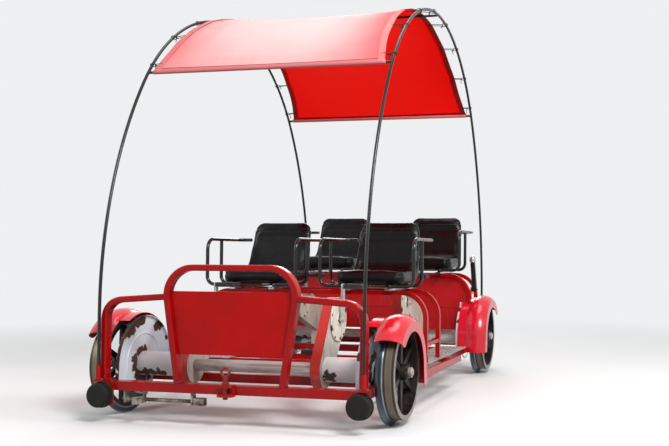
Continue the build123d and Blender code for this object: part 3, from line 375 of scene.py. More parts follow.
@dataclass(frozen=True)
class RolledWheel:
    """Cast and rolled wheel steel: dark spokes, a bright worn rim, and a tread of brown oxide
    with a painted reflection, with painted highlights at its flange.
    """

    name: str
    axle_y: float
    flange_r: float = 0.2255
    tread_r: float = 0.219
    rim_r: float = 0.199
    root_x: float = 0.712
    face_x: float = 0.772

    def build(self) -> Material:
        """Makes the material; radii are from the axle and X is from the car's middle."""
        canvas = Canvas(self.name)
        offset = canvas.add("ShaderNodeVectorMath",
                            {0: canvas.point, 1: (0, self.axle_y, AXLE_Z)}, operation="SUBTRACT")
        flat = canvas.add("ShaderNodeVectorMath", {0: offset, 1: (0, 1, 1)}, operation="MULTIPLY")
        radius = canvas.add("ShaderNodeVectorMath", {0: flat}, operation="LENGTH")
        sideways = canvas.add("ShaderNodeSeparateXYZ", {0: canvas.point}).outputs["X"]
        across = canvas.add("ShaderNodeMath", {0: sideways}, operation="ABSOLUTE")
        rim = canvas.above(radius, self.rim_r - 0.002, self.rim_r)
        tread = canvas.above(radius, self.tread_r, self.tread_r + 0.0005)
        flange_steel_and_highlight = canvas.above(radius, self.flange_r + 0.0005, self.flange_r + 0.002)
        face = canvas.above(across, self.face_x - 0.001, self.face_x)
        rings = canvas.blotches(0.003, 0.5, 0.7, stretch=(1, 400, 400))
        dust = canvas.blotches(0.03, 0.4, 0.65)
        band = canvas.above(across, self.root_x + 0.015, self.root_x + 0.020)
        past = canvas.above(across, self.face_x - 0.010, self.face_x - 0.014)
        root_polish_and_highlight = canvas.above(across, self.root_x + 0.009, self.root_x + 0.007)
        # Painted light on the steel: the brown-gold tread band is oxide with a painted reflection
        # of the ballast, and the pale root stripe and the blue-grey flange are painted highlights
        # over the steel's own grey
        layers = [Layer(canvas.overlap(dust, 0.55), "#3a2a20", 0.8, metal=0.2),
                  Layer(tread, "#3f3a35", 0.4, metal=0.85),
                  Layer(canvas.overlap(band, past, tread), "#75695a", 0.4, metal=0.8),
                  Layer(canvas.overlap(root_polish_and_highlight, tread), "#8d949b", 0.3, metal=0.95),
                  Layer(canvas.overlap(rings, tread), "#4a4138", 0.45, metal=0.7),
                  Layer(flange_steel_and_highlight, "#4f5964", 0.28, metal=0.9),
                  Layer(canvas.overlap(rim, face), "#8c8680", 0.38, metal=0.7)]
        return canvas.finish("#2a2625", 0.42, 0.75, layers, grain=(0.006, 0.0002))


@dataclass(frozen=True)
class MouldedSkin:
    """Integral-skin foam: black, soft gloss, with a fine grain that is drawn at 2.5 mm to show."""

    name: str = "moulded_black_skin"
    grain: float = 0.0025
    grain_depth: float = 0.00005

    def build(self) -> Material:
        """Makes the material."""
        canvas = Canvas(self.name)
        cells = canvas.add("ShaderNodeTexVoronoi", {
            "Vector": canvas.point, "Scale": 1 / self.grain}, feature="DISTANCE_TO_EDGE")
        pebble = canvas.add("ShaderNodeMapRange", {
            "Value": cells, "From Max": 0.25, "To Max": self.grain_depth})
        worn = canvas.blotches(0.12, 0.4, 0.7)
        dust = canvas.blotches(0.03, 0.6, 0.8)
        layers = [Layer(worn, "#0d090c", 0.34), Layer(dust, "#151210", 0.5)]
        return canvas.finish("#060508", 0.26, layers=layers, relief=pebble,
                             Specular_IOR_Level=0.2)


@dataclass(frozen=True)
class Rubber:
    """Moulded black rubber: dull, greyed by dust."""

    name: str = "moulded_rubber"

    def build(self) -> Material:
        """Makes the material."""
        canvas = Canvas(self.name)
        dust = canvas.blotches(0.04, 0.4, 0.75)
        cracks = canvas.blotches(0.006, 0.6, 0.7)
        layers = [Layer(dust, "#1e1b18", 0.9), Layer(cracks, "#050505", 0.95, height=-0.0002)]
        return canvas.finish("#0a0a0a", 0.7, layers=layers, grain=(0.004, 0.0001),
                             Specular_IOR_Level=0.3)


@dataclass(frozen=True)
class RibbedSheet:
    """Mill-finish aluminium tread sheet: bright worn ribs with dark dirt between them."""

    name: str
    rib_top: float
    rib_height: float = 0.003

    def build(self) -> Material:
        """Makes the material."""
        canvas = Canvas(self.name)
        height = canvas.add("ShaderNodeSeparateXYZ", {0: canvas.point}).outputs["Z"]
        low = canvas.above(height, self.rib_top - 0.0005, self.rib_top - self.rib_height)
        dirt = canvas.blotches(0.06, 0.2, 0.6)
        scratch = canvas.blotches(0.003, 0.5, 0.7, stretch=(1, 14, 1))
        layers = [Layer(scratch, "#b4b5b3", 0.5, metal=0.6),
                  Layer(canvas.overlap(low, dirt), "#625c53", 0.8, metal=0.2)]
        return canvas.finish("#d6d6d3", 0.42, 0.65, layers)


@dataclass(frozen=True)
class AwningCloth:
    """PVC-coated polyester awning cloth: a face faded pink by the sun, or a back still deep red.

    The face's paler second tone is a painted sheen. It shows only above the level keep, and
    keep's own value is above any that occurs.
    """

    name: str
    color: str
    second_tone: str
    keep: float = 9.0
    thread: float = 0.004
    relief: float = 0.00002
    gloss: float = 0.5
    through: float = 0.35
    doubled: str = ""
    band: float = 0.038

    def build(self) -> Material:
        """Makes the material; the threads are 1 mm apart and drawn at 4 mm to show."""
        canvas = Canvas(self.name)
        place = canvas.add("ShaderNodeUVMap", uv_map="cloth")
        parts = canvas.add("ShaderNodeSeparateXYZ", {0: place}).outputs
        rows = [canvas.add("ShaderNodeMath", {
            0: canvas.overlap(parts[axis], math.tau / self.thread)}, operation="SINE")
                for axis in ("X", "Y")]
        weave = canvas.overlap(*rows, self.relief)
        # The face's second tone is a painted sheen: a level laid on the mesh, plus noise, above
        # keep
        inner = canvas.add("ShaderNodeAttribute", attribute_name="painted_sheen").outputs["Fac"]
        cloud = canvas.blotches(0.6, 0.25, 0.75, detail=2.0)
        sheen_level = canvas.add("ShaderNodeMath", {0: cloud, 1: 0.25, 2: inner},
                            operation="MULTIPLY_ADD")
        share = canvas.above(sheen_level, self.keep, self.keep + 1.0)
        dirt = canvas.blotches(0.3, 0.55, 1.4, stretch=(1, 3, 3))
        layers = [Layer(share, self.second_tone, self.gloss), Layer(dirt, self.color, self.gloss + 0.15)]
        if self.doubled:
            inward = canvas.add("ShaderNodeAttribute", attribute_name="from_eave").outputs["Fac"]
            hem = canvas.above(inward, self.band + 0.001, self.band - 0.001)
            stitched = canvas.above(inward, self.band - 0.004, self.band - 0.005)
            edge = canvas.add("ShaderNodeMath", {0: hem, 1: stitched}, operation="SUBTRACT")
            layers += [Layer(hem, self.doubled, self.gloss),
                       Layer(edge, "#7a1210", self.gloss, height=-0.0003)]
        return canvas.finish(self.color, self.gloss, layers=layers, relief=weave,
                             through=self.through, Specular_IOR_Level=0.3)


@dataclass(frozen=True)
class Plain:
    """Small trim in one stuff, such as cord, moulded plastic or brass, faintly mottled."""

    name: str
    color: str
    mottle: str
    roughness: float
    metal: float = 0.0
    size: float = 0.01
    depth: float = 0.0001

    def build(self) -> Material:
        """Makes the material."""
        canvas = Canvas(self.name)
        patch = canvas.blotches(self.size, 0.4, 0.65)
        layer = Layer(patch, self.mottle, min(self.roughness + 0.2, 1), metal=self.metal)
        return canvas.finish(self.color, self.roughness, self.metal, [layer],
                             grain=(self.size / 3, self.depth))


def ring_spots(x: float, y: float, z: float,
               places: Iterable[Triple]) -> tuple[Spot, ...]:
    """Lists spots round a point, each from its angle in degrees, its distance and its reach."""
    rings = [(polar(turn, away), reach) for turn, away, reach in places]
    return tuple(Spot(x, y + along, z + up, reach) for (along, up), reach in rings)


def guard_spots() -> tuple[Spot, ...]:
    """Bare places on a white wheel guard: the upper rim, and round the axle cover."""
    return ring_spots(0.6137, AXLE_Y, AXLE_Z, (
        (83, 0.225, 0.065), (73, 0.215, 0.08), (63, 0.217, 0.085), (53, 0.224, 0.075),
        (44, 0.234, 0.05), (123, 0.208, 0.048), (130, 0.230, 0.04), (153, 0.237, 0.025),
        (22, 0.243, 0.035), (98, 0.072, 0.034), (74, 0.075, 0.04), (48, 0.079, 0.045),
        (20, 0.082, 0.048), (-10, 0.084, 0.050), (-40, 0.082, 0.052), (-68, 0.080, 0.052),
        (-95, 0.082, 0.050), (-122, 0.084, 0.044)))


def lip_spots() -> tuple[Spot, ...]:
    """Bare lip of the guard at the front left, brown from end to end."""
    return ring_spots(-0.592, -AXLE_Y, AXLE_Z,
                      ((180 - turn, 0.25, 0.056) for turn in range(-16, 58, 8)))


def cover_spots() -> tuple[Spot, ...]:
    """Bare patches along the bottom of the axle covers."""
    spots = [Spot(0.405, -1.055, 0.215, 0.06), Spot(0.415, 0.945, 0.215, 0.05)]
    for x in (-0.62, -0.58, -0.535, -0.49):
        spots += [Spot(x, -1.045, 0.205, 0.045), Spot(x, 0.96, 0.205, 0.04)]
    return tuple(spots)


def disc_spots() -> tuple[Spot, ...]:
    """Bare places on the crank discs: round the hub and at points of the rim."""
    places = [(0, 0.0, 0.045), *((turn, 0.108, 0.035) for turn in (25, 110, 200, 285))]
    return tuple(spot for x in (-0.31, 0.38) for y, z in SPINDLES
                 for spot in ring_spots(x, y, z, places))


FINISHES = {
    "frame": Enamel("brushed_red_enamel", "#b6090c", "#9c070a", chips=0.34, dirt_top=0.21,
                    roughness=0.22, coat=0.1, shine=0.17),
    "fender": Enamel("sprayed_crimson_enamel", "#d00a22", "#da1430", roughness=0.24,
                     coat=0.5, chips=0.18, dirt_top=0.19, shine=0.4),
    "panel": Enamel("flat_red_enamel", "#c40606", "#b30707", roughness=0.22, coat=0.1,
                    chips=0.03, shine=0.12),
    "wall": Enamel("dull_red_enamel", "#ae090e", "#bb1a20", roughness=0.4, coat=0.08,
                   chips=0.2, streaks=0.06, shine=0.2),
    "guard": Enamel("white_enamel", "#d0dae6", "#e2e8ee", roughness=0.3, rust=0.9,
                    spots=guard_spots(), all_corners=True, lone_spots=lip_spots(),
                    chips=0.1, dirt_top=0.17, rust_size=0.035),
    "cover": Enamel("white_enamel_worn", "#f2f3f5", "#efe2df", roughness=0.35, rust=0.9,
                    spots=cover_spots(), chips=0.15, rust_size=0.03, dirt_top=0.19),
    "case": Enamel("weathered_grey_enamel", "#d3ccbf", "#bdb6a9", roughness=0.45,
                   coat=0.15, chips=0.3, streaks=0.2, dirt="#978f80", dirt_top=0.2),
    "strip": Enamel("salmon_red_enamel", "#c81f1a", "#cf3a30", roughness=0.42, coat=0.15,
                    chips=0.35, streaks=0.15),
    "disc": Enamel("cream_enamel", "#f0ebda", "#ddd7c2", roughness=0.38, chips=0.4,
                   streaks=0.15, dirt="#6d614e", rust=0.8, rust_size=0.02,
                   spots=disc_spots()),
    "hoop": Enamel("black_enamel", "#0d0d0e", "#171616", roughness=0.3, coat=0.2,
                   chips=0.25, shine=0.35),
    "arm": Enamel("black_tube_enamel", "#0a0a0b", "#111011", roughness=0.22, coat=0.35,
                  chips=0.15, shine=0.35),
    "pin": Enamel("enamel_worn_to_steel", "#8e1210", "#5c1712", roughness=0.5, chips=0.62,
                  chip_size=0.012, coat=0.1),
    "weld": Enamel("enamel_on_weld", "#930c10", "#7d0b0e", roughness=0.35, chips=0.4),
    "dark": Steel("dark_forged_steel", "#24201f", "#3c2a1c", 0.5, 0.7, stain_share=0.5),
    "rusty": Steel("rusted_steel", "#4b2f20", "#2d1c14", 0.85, 0.15, stain_share=0.6,
                   specks=0.5),
    "zinc": Steel("dirty_galvanised_steel", "#b9b3aa", "#5b4232", 0.6, 0.4,
                  stain_size=0.04, stain_share=0.6, specks=0.6),
    "bright": Steel("turned_bright_steel", "#cfc7c5", "#9b8b85", 0.36, 0.6,
                    stain_share=0.3, lines=(6, 1, 1)),
    "crank": Steel("polished_steel", "#dededc", "#a8a49d", 0.3, 0.85, stain_share=0.3),
    "chrome": Steel("chrome_plate", "#cfd0d1", "#8d8881", 0.14, 1.0, stain_share=0.3,
                    specks=0.3),
    "bolt": Steel("zinc_plated_steel", "#8f8c86", "#5b4838", 0.4, 0.9, stain_size=0.01,
                  stain_share=0.5, specks=0.4),
    "front_wheel": RolledWheel("rolled_wheel_steel_front", -AXLE_Y),
    "rear_wheel": RolledWheel("rolled_wheel_steel_rear", AXLE_Y),
    "skin": MouldedSkin(),
    "rubber": Rubber(),
    "step": RibbedSheet("ribbed_aluminium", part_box("step_plates")[1].z),
    "pedal": Plain("moulded_black_nylon", "#101010", "#262422", 0.5),
    "cord": Plain("braided_black_cord", "#121214", "#26262a", 0.8, size=0.002),
    "eyelet": Plain("plated_brass", "#b09a63", "#7a6a45", 0.35, metal=1.0, size=0.004),
    # The second tones of the cloth face and of the hem face are a painted sheen
    "cloth_face": AwningCloth("awning_cloth_face", "#f0757a", "#fdf3f0", keep=-0.05,
                              through=0.36, doubled="#f28e90"),
    "cloth_back": AwningCloth("awning_cloth_back", "#f4271e", "#f4271e", gloss=0.6,
                              through=0.75, doubled="#b0100d"),
    "hem": AwningCloth("awning_cloth_hem", "#a3100d", "#a3100d", gloss=0.6, through=0.1),
    "hem_face": AwningCloth("awning_cloth_hem_face", "#e25a5f", "#f3a3a2", keep=0.0,
                            through=0.2),
}


class Finishes:
    """Every finish of the car, made once each."""

    def __init__(self) -> None:
        """Makes all the materials."""
        self.built = {name: finish.build() for name, finish in FINISHES.items()}

    def __getitem__(self, name: str) -> Material:
        """Gives a finish by its short name."""
        return self.built[name]

    def dress(self, node: str, name: str) -> None:
        """Gives one CAD node its finish, on every material slot."""
        data = NODES[node].data
        data.materials.clear()
        data.materials.append(self.built[name])


DRESS = {
    "base_frame": "frame", "front_guard": "frame", "front_panel": "panel", "rear_wall": "wall",
    "seat_frame_front": "frame", "seat_frame_rear": "frame", "hoop_sockets": "frame",
    "couplings": "frame", "brake_bracket": "frame", "front_fenders": "fender",
    "rear_fenders": "fender", "wheel_guards": "guard", "axle_covers": "cover",
    "chain_cases": "case", "case_strips": "strip", "crank_discs": "disc",
    "canopy_hoops": "hoop", "canopy_bars": "hoop", "bearing_blocks": "dark",
    "brake_lever": "arm", "coupling_pin": "pin", "buffer_rings": "rusty",
    "brake_rigging": "zinc", "front_axle": "bright", "rear_axle": "bright",
    "seat_tracks": "chrome", "brake_grip": "chrome", "front_wheels": "front_wheel",
    "rear_wheels": "rear_wheel", "buffer_pads": "rubber", "step_plates": "step",
}
DRESS_BY_PLACE = {"seat_arms": "arm", "seat_runner": "dark", "crank": "crank", "pedals": "pedal"}


def new_piece(name: str, mesh: Mesh, body: str,
              materials: Sequence[Material]) -> Object:
    """Makes a piece of the car from a mesh that is already in place.

    Args:
        name: name of the piece.
        mesh: its mesh, in the car's frame.
        body: body that it rides on.
        materials: its finishes.

    Returns:
        The object, linked to the scene.
    """
    piece = place_object(name, mesh)
    order = [0] * len(mesh.polygons)
    mesh.polygons.foreach_get("material_index", order)
    mesh.materials.clear()
    for material in materials:
        mesh.materials.append(material)
    mesh.polygons.foreach_set("material_index", order)
    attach(piece, body)
    log.info("%s: %d faces", name, len(mesh.polygons))
    return piece


def frozen_mesh(obj: Object) -> Mesh:
    """Turns an object with live modifiers, or a curve, to a plain mesh."""
    graph = bpy.context.evaluated_depsgraph_get()
    return bpy.data.meshes.new_from_object(obj.evaluated_get(graph), depsgraph=graph)


def shape(obj: Object, kind: str, **settings: Any) -> None:
    """Adds a modifier with its settings to an object and applies it.

    Args:
        obj: the object, which gets a new mesh.
        kind: type of the modifier.
        **settings: its properties.
    """
    modifier = obj.modifiers.new(kind.lower(), kind)
    for name, value in settings.items():
        setattr(modifier, name, value)
    mesh = frozen_mesh(obj)
    obj.modifiers.clear()
    obj.data = mesh


def smooth(mesh: Mesh) -> None:
    """Shades every face smooth."""
    mesh.polygons.foreach_set("use_smooth", [True] * len(mesh.polygons))


def cloth_mesh(name: str, verts: Sequence[Sequence[float]], faces: Sequence[Sequence[int]],
               maps: Sequence[Pair], painted_sheen: Sequence[float]) -> Mesh:
    """Makes a mesh of cloth.

    Args:
        name: name of the mesh.
        verts: its points.
        faces: its faces, by numbers of points.
        maps: place of each point on the flat cloth, in metres.
        painted_sheen: how strong the painted sheen is at each point.

    Returns:
        The mesh, with its map and its attribute.
    """
    mesh = bpy.data.meshes.new(name)
    mesh.from_pydata(verts, [], faces)
    layer = mesh.uv_layers.new(name="cloth")
    for loop in mesh.loops:
        layer.data[loop.index].uv = maps[loop.vertex_index]
    second_tone_mask = mesh.attributes.new("painted_sheen", "FLOAT", "POINT")
    second_tone_mask.data.foreach_set("value", painted_sheen)
    return mesh


def cord_mesh(routes: Sequence[Sequence[Vector]], radius: float) -> Mesh:
    """Makes round cords along routes of points, with closed ends."""
    data = bpy.data.curves.new("cord", "CURVE")
    data.dimensions = "3D"
    data.bevel_depth = radius
    data.bevel_resolution = 1
    data.resolution_u = 5
    data.use_fill_caps = True
    for points in routes:
        spline = data.splines.new("NURBS")
        spline.points.add(len(points) - 1)
        for target, point in zip(spline.points, points):
            target.co = (*point, 1)
        spline.order_u = 3
        spline.use_endpoint_u = True
    temp = place_object("cord", data)
    mesh = frozen_mesh(temp)
    bpy.data.objects.remove(temp)
    return mesh


class Part(Enum):
    """Small part that is repeated over points."""

    HEX_BOLT = "hex_bolt"
    RIVET = "rivet"
    EYELET = "eyelet"


@cache
def scatter_tree(part: Part) -> GeometryNodeTree:
    """Builds the tree that puts one part on every point, upright along the point's axis.

    Args:
        part: which part is repeated.

    Returns:
        Tree with inputs Radius, Height and Finish.
    """
    tree = bpy.data.node_groups.new(f"{part.value}_on_points", "GeometryNodeTree")
    for label, flow, kind in (("Geometry", "INPUT", "Geometry"), ("Radius", "INPUT", "Float"),
                              ("Height", "INPUT", "Float"), ("Finish", "INPUT", "Material"),
                              ("Geometry", "OUTPUT", "Geometry")):
        tree.interface.new_socket(label, in_out=flow, socket_type=f"NodeSocket{kind}")
    start = add_node(tree, "NodeGroupInput").outputs
    axis = add_node(tree, "GeometryNodeInputNamedAttribute", {"Name": "axis"},
                    data_type="FLOAT_VECTOR")
    turn = add_node(tree, "FunctionNodeAlignRotationToVector", {"Vector": axis}, axis="Z")
    sides, top = (6, 0.86) if part is Part.HEX_BOLT else (12, 0.45)
    half_h, head_r, body_h, cap_h, washer_r, washer_h = (
        add_node(tree, "ShaderNodeMath", {0: start[label], 1: share}, operation="MULTIPLY")
        for label, share in (("Height", 0.5), ("Radius", top), ("Height", 0.72),
                             ("Height", 0.28), ("Radius", 1.45), ("Height", 0.18)))
    if part is Part.EYELET:
        path, wire = (add_node(tree, "GeometryNodeCurvePrimitiveCircle",
                               {"Resolution": count, "Radius": radius})
                      for count, radius in ((18, start["Radius"]), (8, half_h)))
        made = add_node(tree, "GeometryNodeCurveToMesh", {"Curve": path, "Profile Curve": wire})
    else:
        radius = start["Radius"]
        shank, head, washer = (
            add_node(tree, "GeometryNodeMeshCone", {
                "Vertices": corners, "Radius Top": upper, "Radius Bottom": lower, "Depth": depth})
            for corners, upper, lower, depth in (
                (sides, radius, radius, body_h), (sides, head_r, radius, cap_h),
                (16, washer_r, washer_r, washer_h)))
        lift = add_node(tree, "ShaderNodeCombineXYZ", {"Z": body_h})
        raised = add_node(tree, "GeometryNodeTransform", {"Geometry": head, "Translation": lift})
        made = add_node(tree, "GeometryNodeJoinGeometry")
        for source in (washer, raised, shank):
            tree.links.new(source.outputs[0], made.inputs[0])
    placed = add_node(tree, "GeometryNodeInstanceOnPoints", {
        "Points": start["Geometry"], "Instance": made, "Rotation": turn})
    real = add_node(tree, "GeometryNodeRealizeInstances", {"Geometry": placed})
    dressed = add_node(tree, "GeometryNodeSetMaterial", {
        "Geometry": real, "Material": start["Finish"]})
    add_node(tree, "NodeGroupOutput", {"Geometry": dressed})
    return tree


def scatter(name: str, places: Sequence[tuple[Vector, Vector]], part: Part, body: str,
            material: Material, radius: float, height: float) -> Object:
    """Puts one small part at each place.

    Args:
        name: name of the piece.
        places: point and axis of each copy.
        part: what is repeated.
        body: body that the piece rides on.
        material: its finish.
        radius: radius of the part.
        height: how far it stands out.

    Returns:
        The joined piece.
    """
    points = bpy.data.meshes.new(name)
    points.from_pydata([tuple(place) for place, _ in places], [], [])
    axis = points.attributes.new("axis", "FLOAT_VECTOR", "POINT")
    axis.data.foreach_set("vector", [c for _, way in places for c in way.normalized()])
    temp = place_object("points", points)
    modifier = temp.modifiers.new("made", "NODES")
    modifier.node_group = scatter_tree(part)
    values = {"Radius": radius, "Height": height, "Finish": material}
    for item in modifier.node_group.interface.items_tree:
        if item.name in values:
            modifier[item.identifier] = values[item.name]
    mesh = frozen_mesh(temp)
    bpy.data.objects.remove(temp)
    if part is Part.EYELET:
        smooth(mesh)
    return new_piece(name, mesh, body, [material])


@dataclass
class HoopLine:
    """Centre line of the awning's hoops: a round top and a longer bend down to each leg."""

    rod_r: float = 0.008
    top_r: float = 1.15
    top_angle: float = 56.26
    leg_r: float = 2.1
    samples: int = 2000
    top_z: float = field(init=False)
    rod_x: float = field(init=False)

    def __post_init__(self) -> None:
        """Reads the hoops' height and place from the frame."""
        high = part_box("canopy_hoops")[1]
        self.top_z = high.z - self.rod_r
        self.rod_x = high.x - self.rod_r

    def at(self, angle: float, lift: float = 0.0) -> Pair:
        """Gives Y and Z at an angle from the top, in degrees, moved out by a lift."""
        centre_y, centre_z, r = 0.0, self.top_z - self.top_r, self.top_r
        if abs(angle) > self.top_angle:
            up, out = polar(self.top_angle, self.top_r - self.leg_r)
            centre_y, centre_z, r = math.copysign(out, out * angle), centre_z + up, self.leg_r
        up, out = polar(angle, r + lift)
        return centre_y + out, centre_z + up

    def outward(self, angle: float) -> Vector:
        """Gives the direction straight out of the arch at an angle."""
        up, along = polar(angle, 1.0)
        return Vector((0, along, up))

    def spread(self, first: float, last: float, step: float) -> list[float]:
        """Lists angles about one step apart along the line, in metres."""
        fine = [first + (last - first) * i / self.samples for i in range(self.samples + 1)]
        points = [self.at(angle) for angle in fine]
        walked = [0.0]
        for before, point in zip(points, points[1:]):
            walked.append(walked[-1] + math.dist(before, point))
        count = max(2, round(walked[-1] / step))
        found, index = [], 0
        for k in range(count + 1):
            while index < self.samples and walked[index] < walked[-1] * k / count - 1e-9:
                index += 1
            found.append(fine[index])
        return found


@dataclass
class Awning:
    """Red awning cloth that wraps round both eave bars and is laced to the hoops."""

    finishes: Finishes
    line: HoopLine = field(default_factory=HoopLine)
    bar_r: float = 0.007
    bar_gap: float = 0.001
    eave: float = 53.0
    thickness: float = 0.0012
    corner_half: float = 0.632
    waist: float = 0.058
    sag: float = 0.026
    wrap: float = 300.0
    wrap_steps: int = 14
    ridge_lift: float = 0.002
    step: float = 0.022
    columns: int = 60
    hem_band: float = 0.034
    hem_proud: float = 0.0011
    hem_past: float = 0.0008
    tie_angles: tuple[float, ...] = (-50.0, -36.0, -21.0, -6.0, 9.0, 24.0, 38.0, 50.0)
    tie_inset: float = 0.016
    tie_r: float = 0.002
    tie_gap: float = 0.0028
    knot_gap: float = 0.009
    # Height of each kind of wave, then waves per metre or where and how far they reach
    slow: Triple = (0.0012, 9.0, 2.2)
    flutter: Pair = (0.0018, 34.0)
    crease: Triple = (0.0025, 0.19, 0.09)

    def half_width(self, angle: float) -> float:
        """Half the cloth's width at an angle: pulled out at the eaves, waisted between ties."""
        share = 1 - (angle / self.eave) ** 2
        bays = sum(math.exp(-((angle - tie) / 4) ** 2) for tie in self.tie_angles)
        return self.corner_half - self.waist * max(share, 0) ** 0.6 - 0.003 * (1 - min(bays, 1))

    def rows(self) -> list[Row]:
        """Lists the cloth's section from the front pocket to the rear one.

        Returns:
            Y, Z, half width and sag share of each row.
        """
        found = []
        for angle in self.line.spread(-self.eave, self.eave, self.step):
            on_ridge = self.ridge_lift * math.exp(-(angle / 1.8) ** 2)
            y, z = self.line.at(angle, self.bar_r + self.bar_gap + self.thickness + on_ridge)
            slack = abs(math.sin(math.pi * angle / self.eave)) ** 0.7
            sag = slack * (1 - math.exp(-(angle / 3) ** 2))
            found.append((y, z, self.half_width(angle), sag))
        return [*reversed(self.pocket(-1)), *found, *self.pocket(1)]

    def pocket(self, sign: int) -> list[Row]:
        """Rows of the pocket round an eave bar, from the cloth's edge inwards."""
        y, z = self.line.at(sign * self.eave)
        rows = []
        for k in range(1, self.wrap_steps + 1):
            share = k / self.wrap_steps
            reach = self.bar_r + self.bar_gap + self.thickness + 0.0015 * share
            up, out = polar(self.eave + self.wrap * share, reach)
            rows.append((y + sign * out, z + up, self.corner_half, 0.0))
        return rows

    def drop(self, share: float, x: float, length: float, sag: float,
             phases: Sequence[float]) -> float:
        """Works out how far a point of the cloth hangs under the arch.

        Args:
            share: place across the cloth, from -1 to 1.
            x: the same in metres.
            length: way along the cloth from its front edge.
            sag: sag share of the row.
            phases: where the waves start.

        Returns:
            Slack between the bars, a slow wave, a flutter at the sides and creases at the eave.
        """
        slack = self.sag * sag * (1 - share ** 2) ** 0.7
        height, across, along = self.slow
        slow = height * sag * math.sin(across * x + phases[0] + along * length)
        height, along = self.flutter
        at_side = math.exp(-(1 - abs(share)) * 9)
        flutter = height * sag * at_side * math.sin(along * length + phases[1])
        height, middle, reach = self.crease
        at_eave = math.exp(-((length - middle) / reach) ** 2) * (1 - share ** 2)
        crease = height * at_eave * math.sin(math.tau * length / reach + 0.9 * x)
        return slack + slow + flutter + crease

    def sheet_mesh(self) -> tuple[Mesh, float, float]:
        """Makes the cloth's mid surface with its own map.

        Returns:
            The mesh, its area and its length along the arch, in metres.
        """
        rows = self.rows()
        rng = random.Random(7)
        phases = [rng.uniform(0, math.tau) for _ in range(2)]
        verts, maps, sheen_across, faces = [], [], [], []
        length, width = 0.0, self.columns + 1
        for i, (y, z, half, sag) in enumerate(rows):
            if i:
                length += math.dist((y, z), rows[i - 1][:2])
            for j in range(width):
                share = 2 * j / self.columns - 1
                x = share * half
                verts.append((x, y, z - self.drop(share, x, length, sag, phases)))
                maps.append((x, length))
                sheen_across.append(1 - abs(share + 0.12) ** 2.5)
                if i and j:
                    a = (i - 1) * width + j - 1
                    faces.append((a, a + 1, a + width + 1, a + width))
        middle = length / 2
        off_middle = [abs(along - middle) for _, along in maps]
        # Painted sheen: brightest a little left of the middle of the width and at the middle of the
        # arch, down to 40 % at the eaves
        painted_sheen = [edge * (1 - off / middle * 0.6) for edge, off in zip(sheen_across, off_middle)]
        mesh = cloth_mesh("awning", verts, faces, maps, painted_sheen)
        pocket = self.bar_r * math.radians(self.wrap)
        inward = mesh.attributes.new("from_eave", "FLOAT", "POINT")
        inward.data.foreach_set("value", [middle - off - pocket for off in off_middle])
        return mesh, sum(face.area for face in mesh.polygons), length

    def cloth(self) -> tuple[Object, float, float]:
        """Makes the cloth as a thin closed shell, pink with a painted sheen outside and red inside.

        Returns:
            The piece, its area and its length along the arch, in metres.
        """
        mesh, area, length = self.sheet_mesh()
        stuffs = [self.finishes["cloth_face"], self.finishes["cloth_back"]]
        for stuff in stuffs:
            mesh.materials.append(stuff)
        temp = place_object("awning_temp", mesh)
        shape(temp, "SOLIDIFY", thickness=self.thickness, offset=-1.0, material_offset=1,
              material_offset_rim=0)
        done = temp.data
        bpy.data.objects.remove(temp)
        smooth(done)
        piece = new_piece("awning_cloth", done, CHASSIS, stuffs)
        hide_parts("canopy_cloth")
        return piece, area, length

    def edge_point(self, side: Side, angle: float, inset: float, lift: float = 0.0) -> Vector:
        """Point of the cloth near its side edge."""
        y, z = self.line.at(angle, self.bar_r + self.bar_gap + lift)
        return Vector((side.value * (self.half_width(angle) - inset), y, z))

    def side_hem(self, side: Side) -> Object:
        """Makes the doubled band along one side, both over and under the cloth."""
        over, under = self.hem_proud, -self.thickness - self.hem_proud
        section = ((-self.hem_past, over), (self.hem_band, over),
                   (self.hem_band, under), (-self.hem_past, under))
        verts, maps, faces = [], [], [(0, 3, 2, 1)]
        length, before = 0.0, None
        for i, angle in enumerate(self.line.spread(-self.eave, self.eave, 0.02)):
            here = self.line.at(angle)
            length += math.dist(here, before or here)
            before = here
            verts += [tuple(self.edge_point(side, angle, inset, lift)) for inset, lift in section]
            maps += [(inset, length) for inset, _ in section]
            if i:
                a = 4 * (i - 1)
                faces += [(a + k, a + (k + 1) % 4, a + (k + 1) % 4 + 4, a + k + 4)
                          for k in range(4)]
        last = len(verts) - 4
        faces.append((last, last + 1, last + 2, last + 3))
        if side is Side.RIGHT:
            faces = [(b, a, d, c) for a, b, c, d in faces]
        # Every point of the hem gets a painted sheen level of 0.35
        mesh = cloth_mesh("hem", verts, faces, maps, [0.35] * len(verts))
        # The band's top and its outer edge take the face with its painted sheen, its underside and
        # its ends do not
        tones = [1] + [0, 1, 1, 0] * (last // 4) + [1]
        mesh.polygons.foreach_set("material_index", tones)
        return new_piece(f"awning_hem_{side.name.lower()}", mesh, CHASSIS,
                         [self.finishes["hem_face"], self.finishes["hem"]])

